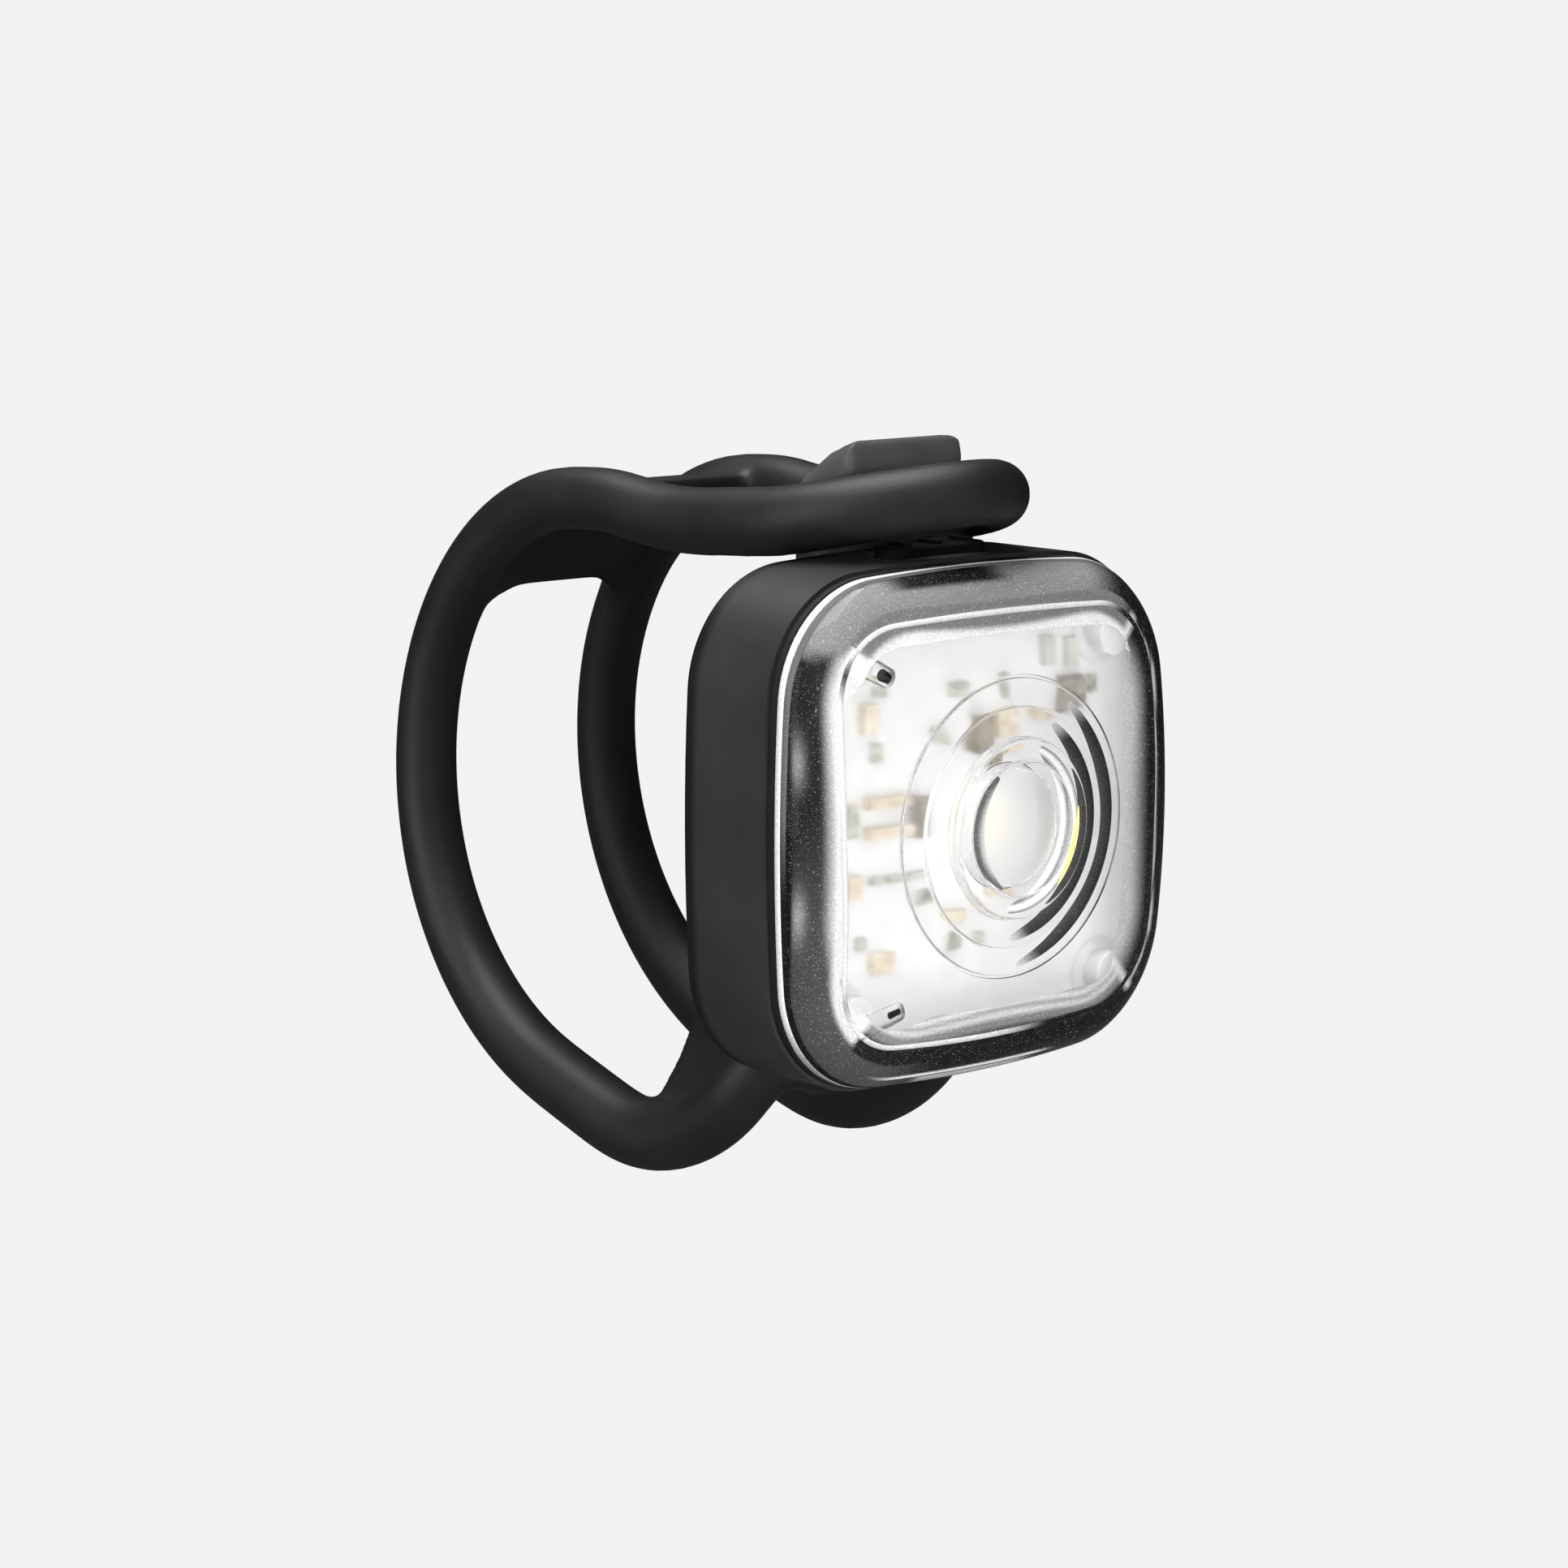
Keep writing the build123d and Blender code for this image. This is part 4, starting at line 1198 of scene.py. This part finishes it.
studioFacts = {
    "background": 0.892, "surround": 0.02, "floor": 0.09,
    "floorRoughness": 0.9, "floorHeight": -70, "floorSize": 6,
    # place and aim in millimetres, width, height, power, and whether gloss mirrors it
    "lights": (
        ("keyFront", (-280, -490, 170), (0, -20, 0), 320, 300, 2.5, False),
        ("softLeft", (-420, 60, 60), (0, -10, 0), 300, 420, 0.85, True),
        ("softTop", (-60, 60, 420), (0, 0, 0), 420, 300, 2.5, True),
        ("softLow", (-20, -150, -60), (0, -30, -18), 140, 40, 0.22, False),
        ("softCamera", (-430, -380, 160), (0, -10, 0), 260, 260, 0.2, False),
    ),
}


def cameraSees(tree, other, shown, surface):
    # the camera sees one shader where light and gloss meet the other
    path = addNode(tree, "LightPath")
    both = addNode(tree, "MixShader")
    link(tree, (path.outputs["Is Camera Ray"], both.inputs["Fac"]), (other, both.inputs[1]),
         (shown, both.inputs[2]), (both.outputs["Shader"], surface))


def buildWorld():
    world = bpy.data.worlds.new("studioWorld")
    scene.world = world
    world.use_nodes = True
    tree = world.node_tree
    backdrop = tree.nodes["Background"]
    backdrop.inputs["Color"].default_value = colour(studioFacts["background"])
    soft = addNode(tree, "Background", {"Color": colour(studioFacts["surround"])})
    cameraSees(tree, soft.outputs["Background"], backdrop.outputs["Background"],
               tree.nodes["World Output"].inputs["Surface"])


def buildLights():
    for name, where, towards, width, height, power, mirrored in studioFacts["lights"]:
        data = bpy.data.lights.new(name, "AREA")
        data.shape = "RECTANGLE"
        data.size, data.size_y = width * mm, height * mm
        data.energy = power
        light = newObject(name, data)
        light.location = Vector(where) * mm
        aim(light, Vector(towards) - Vector(where))
        light.visible_camera = False
        light.visible_glossy = mirrored


def buildFloor():
    bm = bmesh.new()
    bmesh.ops.create_grid(bm, x_segments=1, y_segments=1, size=studioFacts["floorSize"])
    bmesh.ops.translate(bm, verts=bm.verts[:], vec=(0, 0, studioFacts["floorHeight"] * mm))
    floor = newObject("studioFloor", meshFrom(bm, "studioFloor"))
    material, tree, pale = newMaterial("floorPale", {
        "Base Color": colour(studioFacts["floor"]), "Roughness": studioFacts["floorRoughness"]})
    glow = addNode(tree, "Emission", {"Color": colour(studioFacts["background"])})
    cameraSees(tree, pale.outputs["BSDF"], glow.outputs["Emission"],
               tree.nodes["Material Output"].inputs["Surface"])
    floor.data.materials.append(material)


buildCamera()
buildWorld()
buildLights()
buildFloor()
scene.view_settings.view_transform = "Standard"
print("studio")
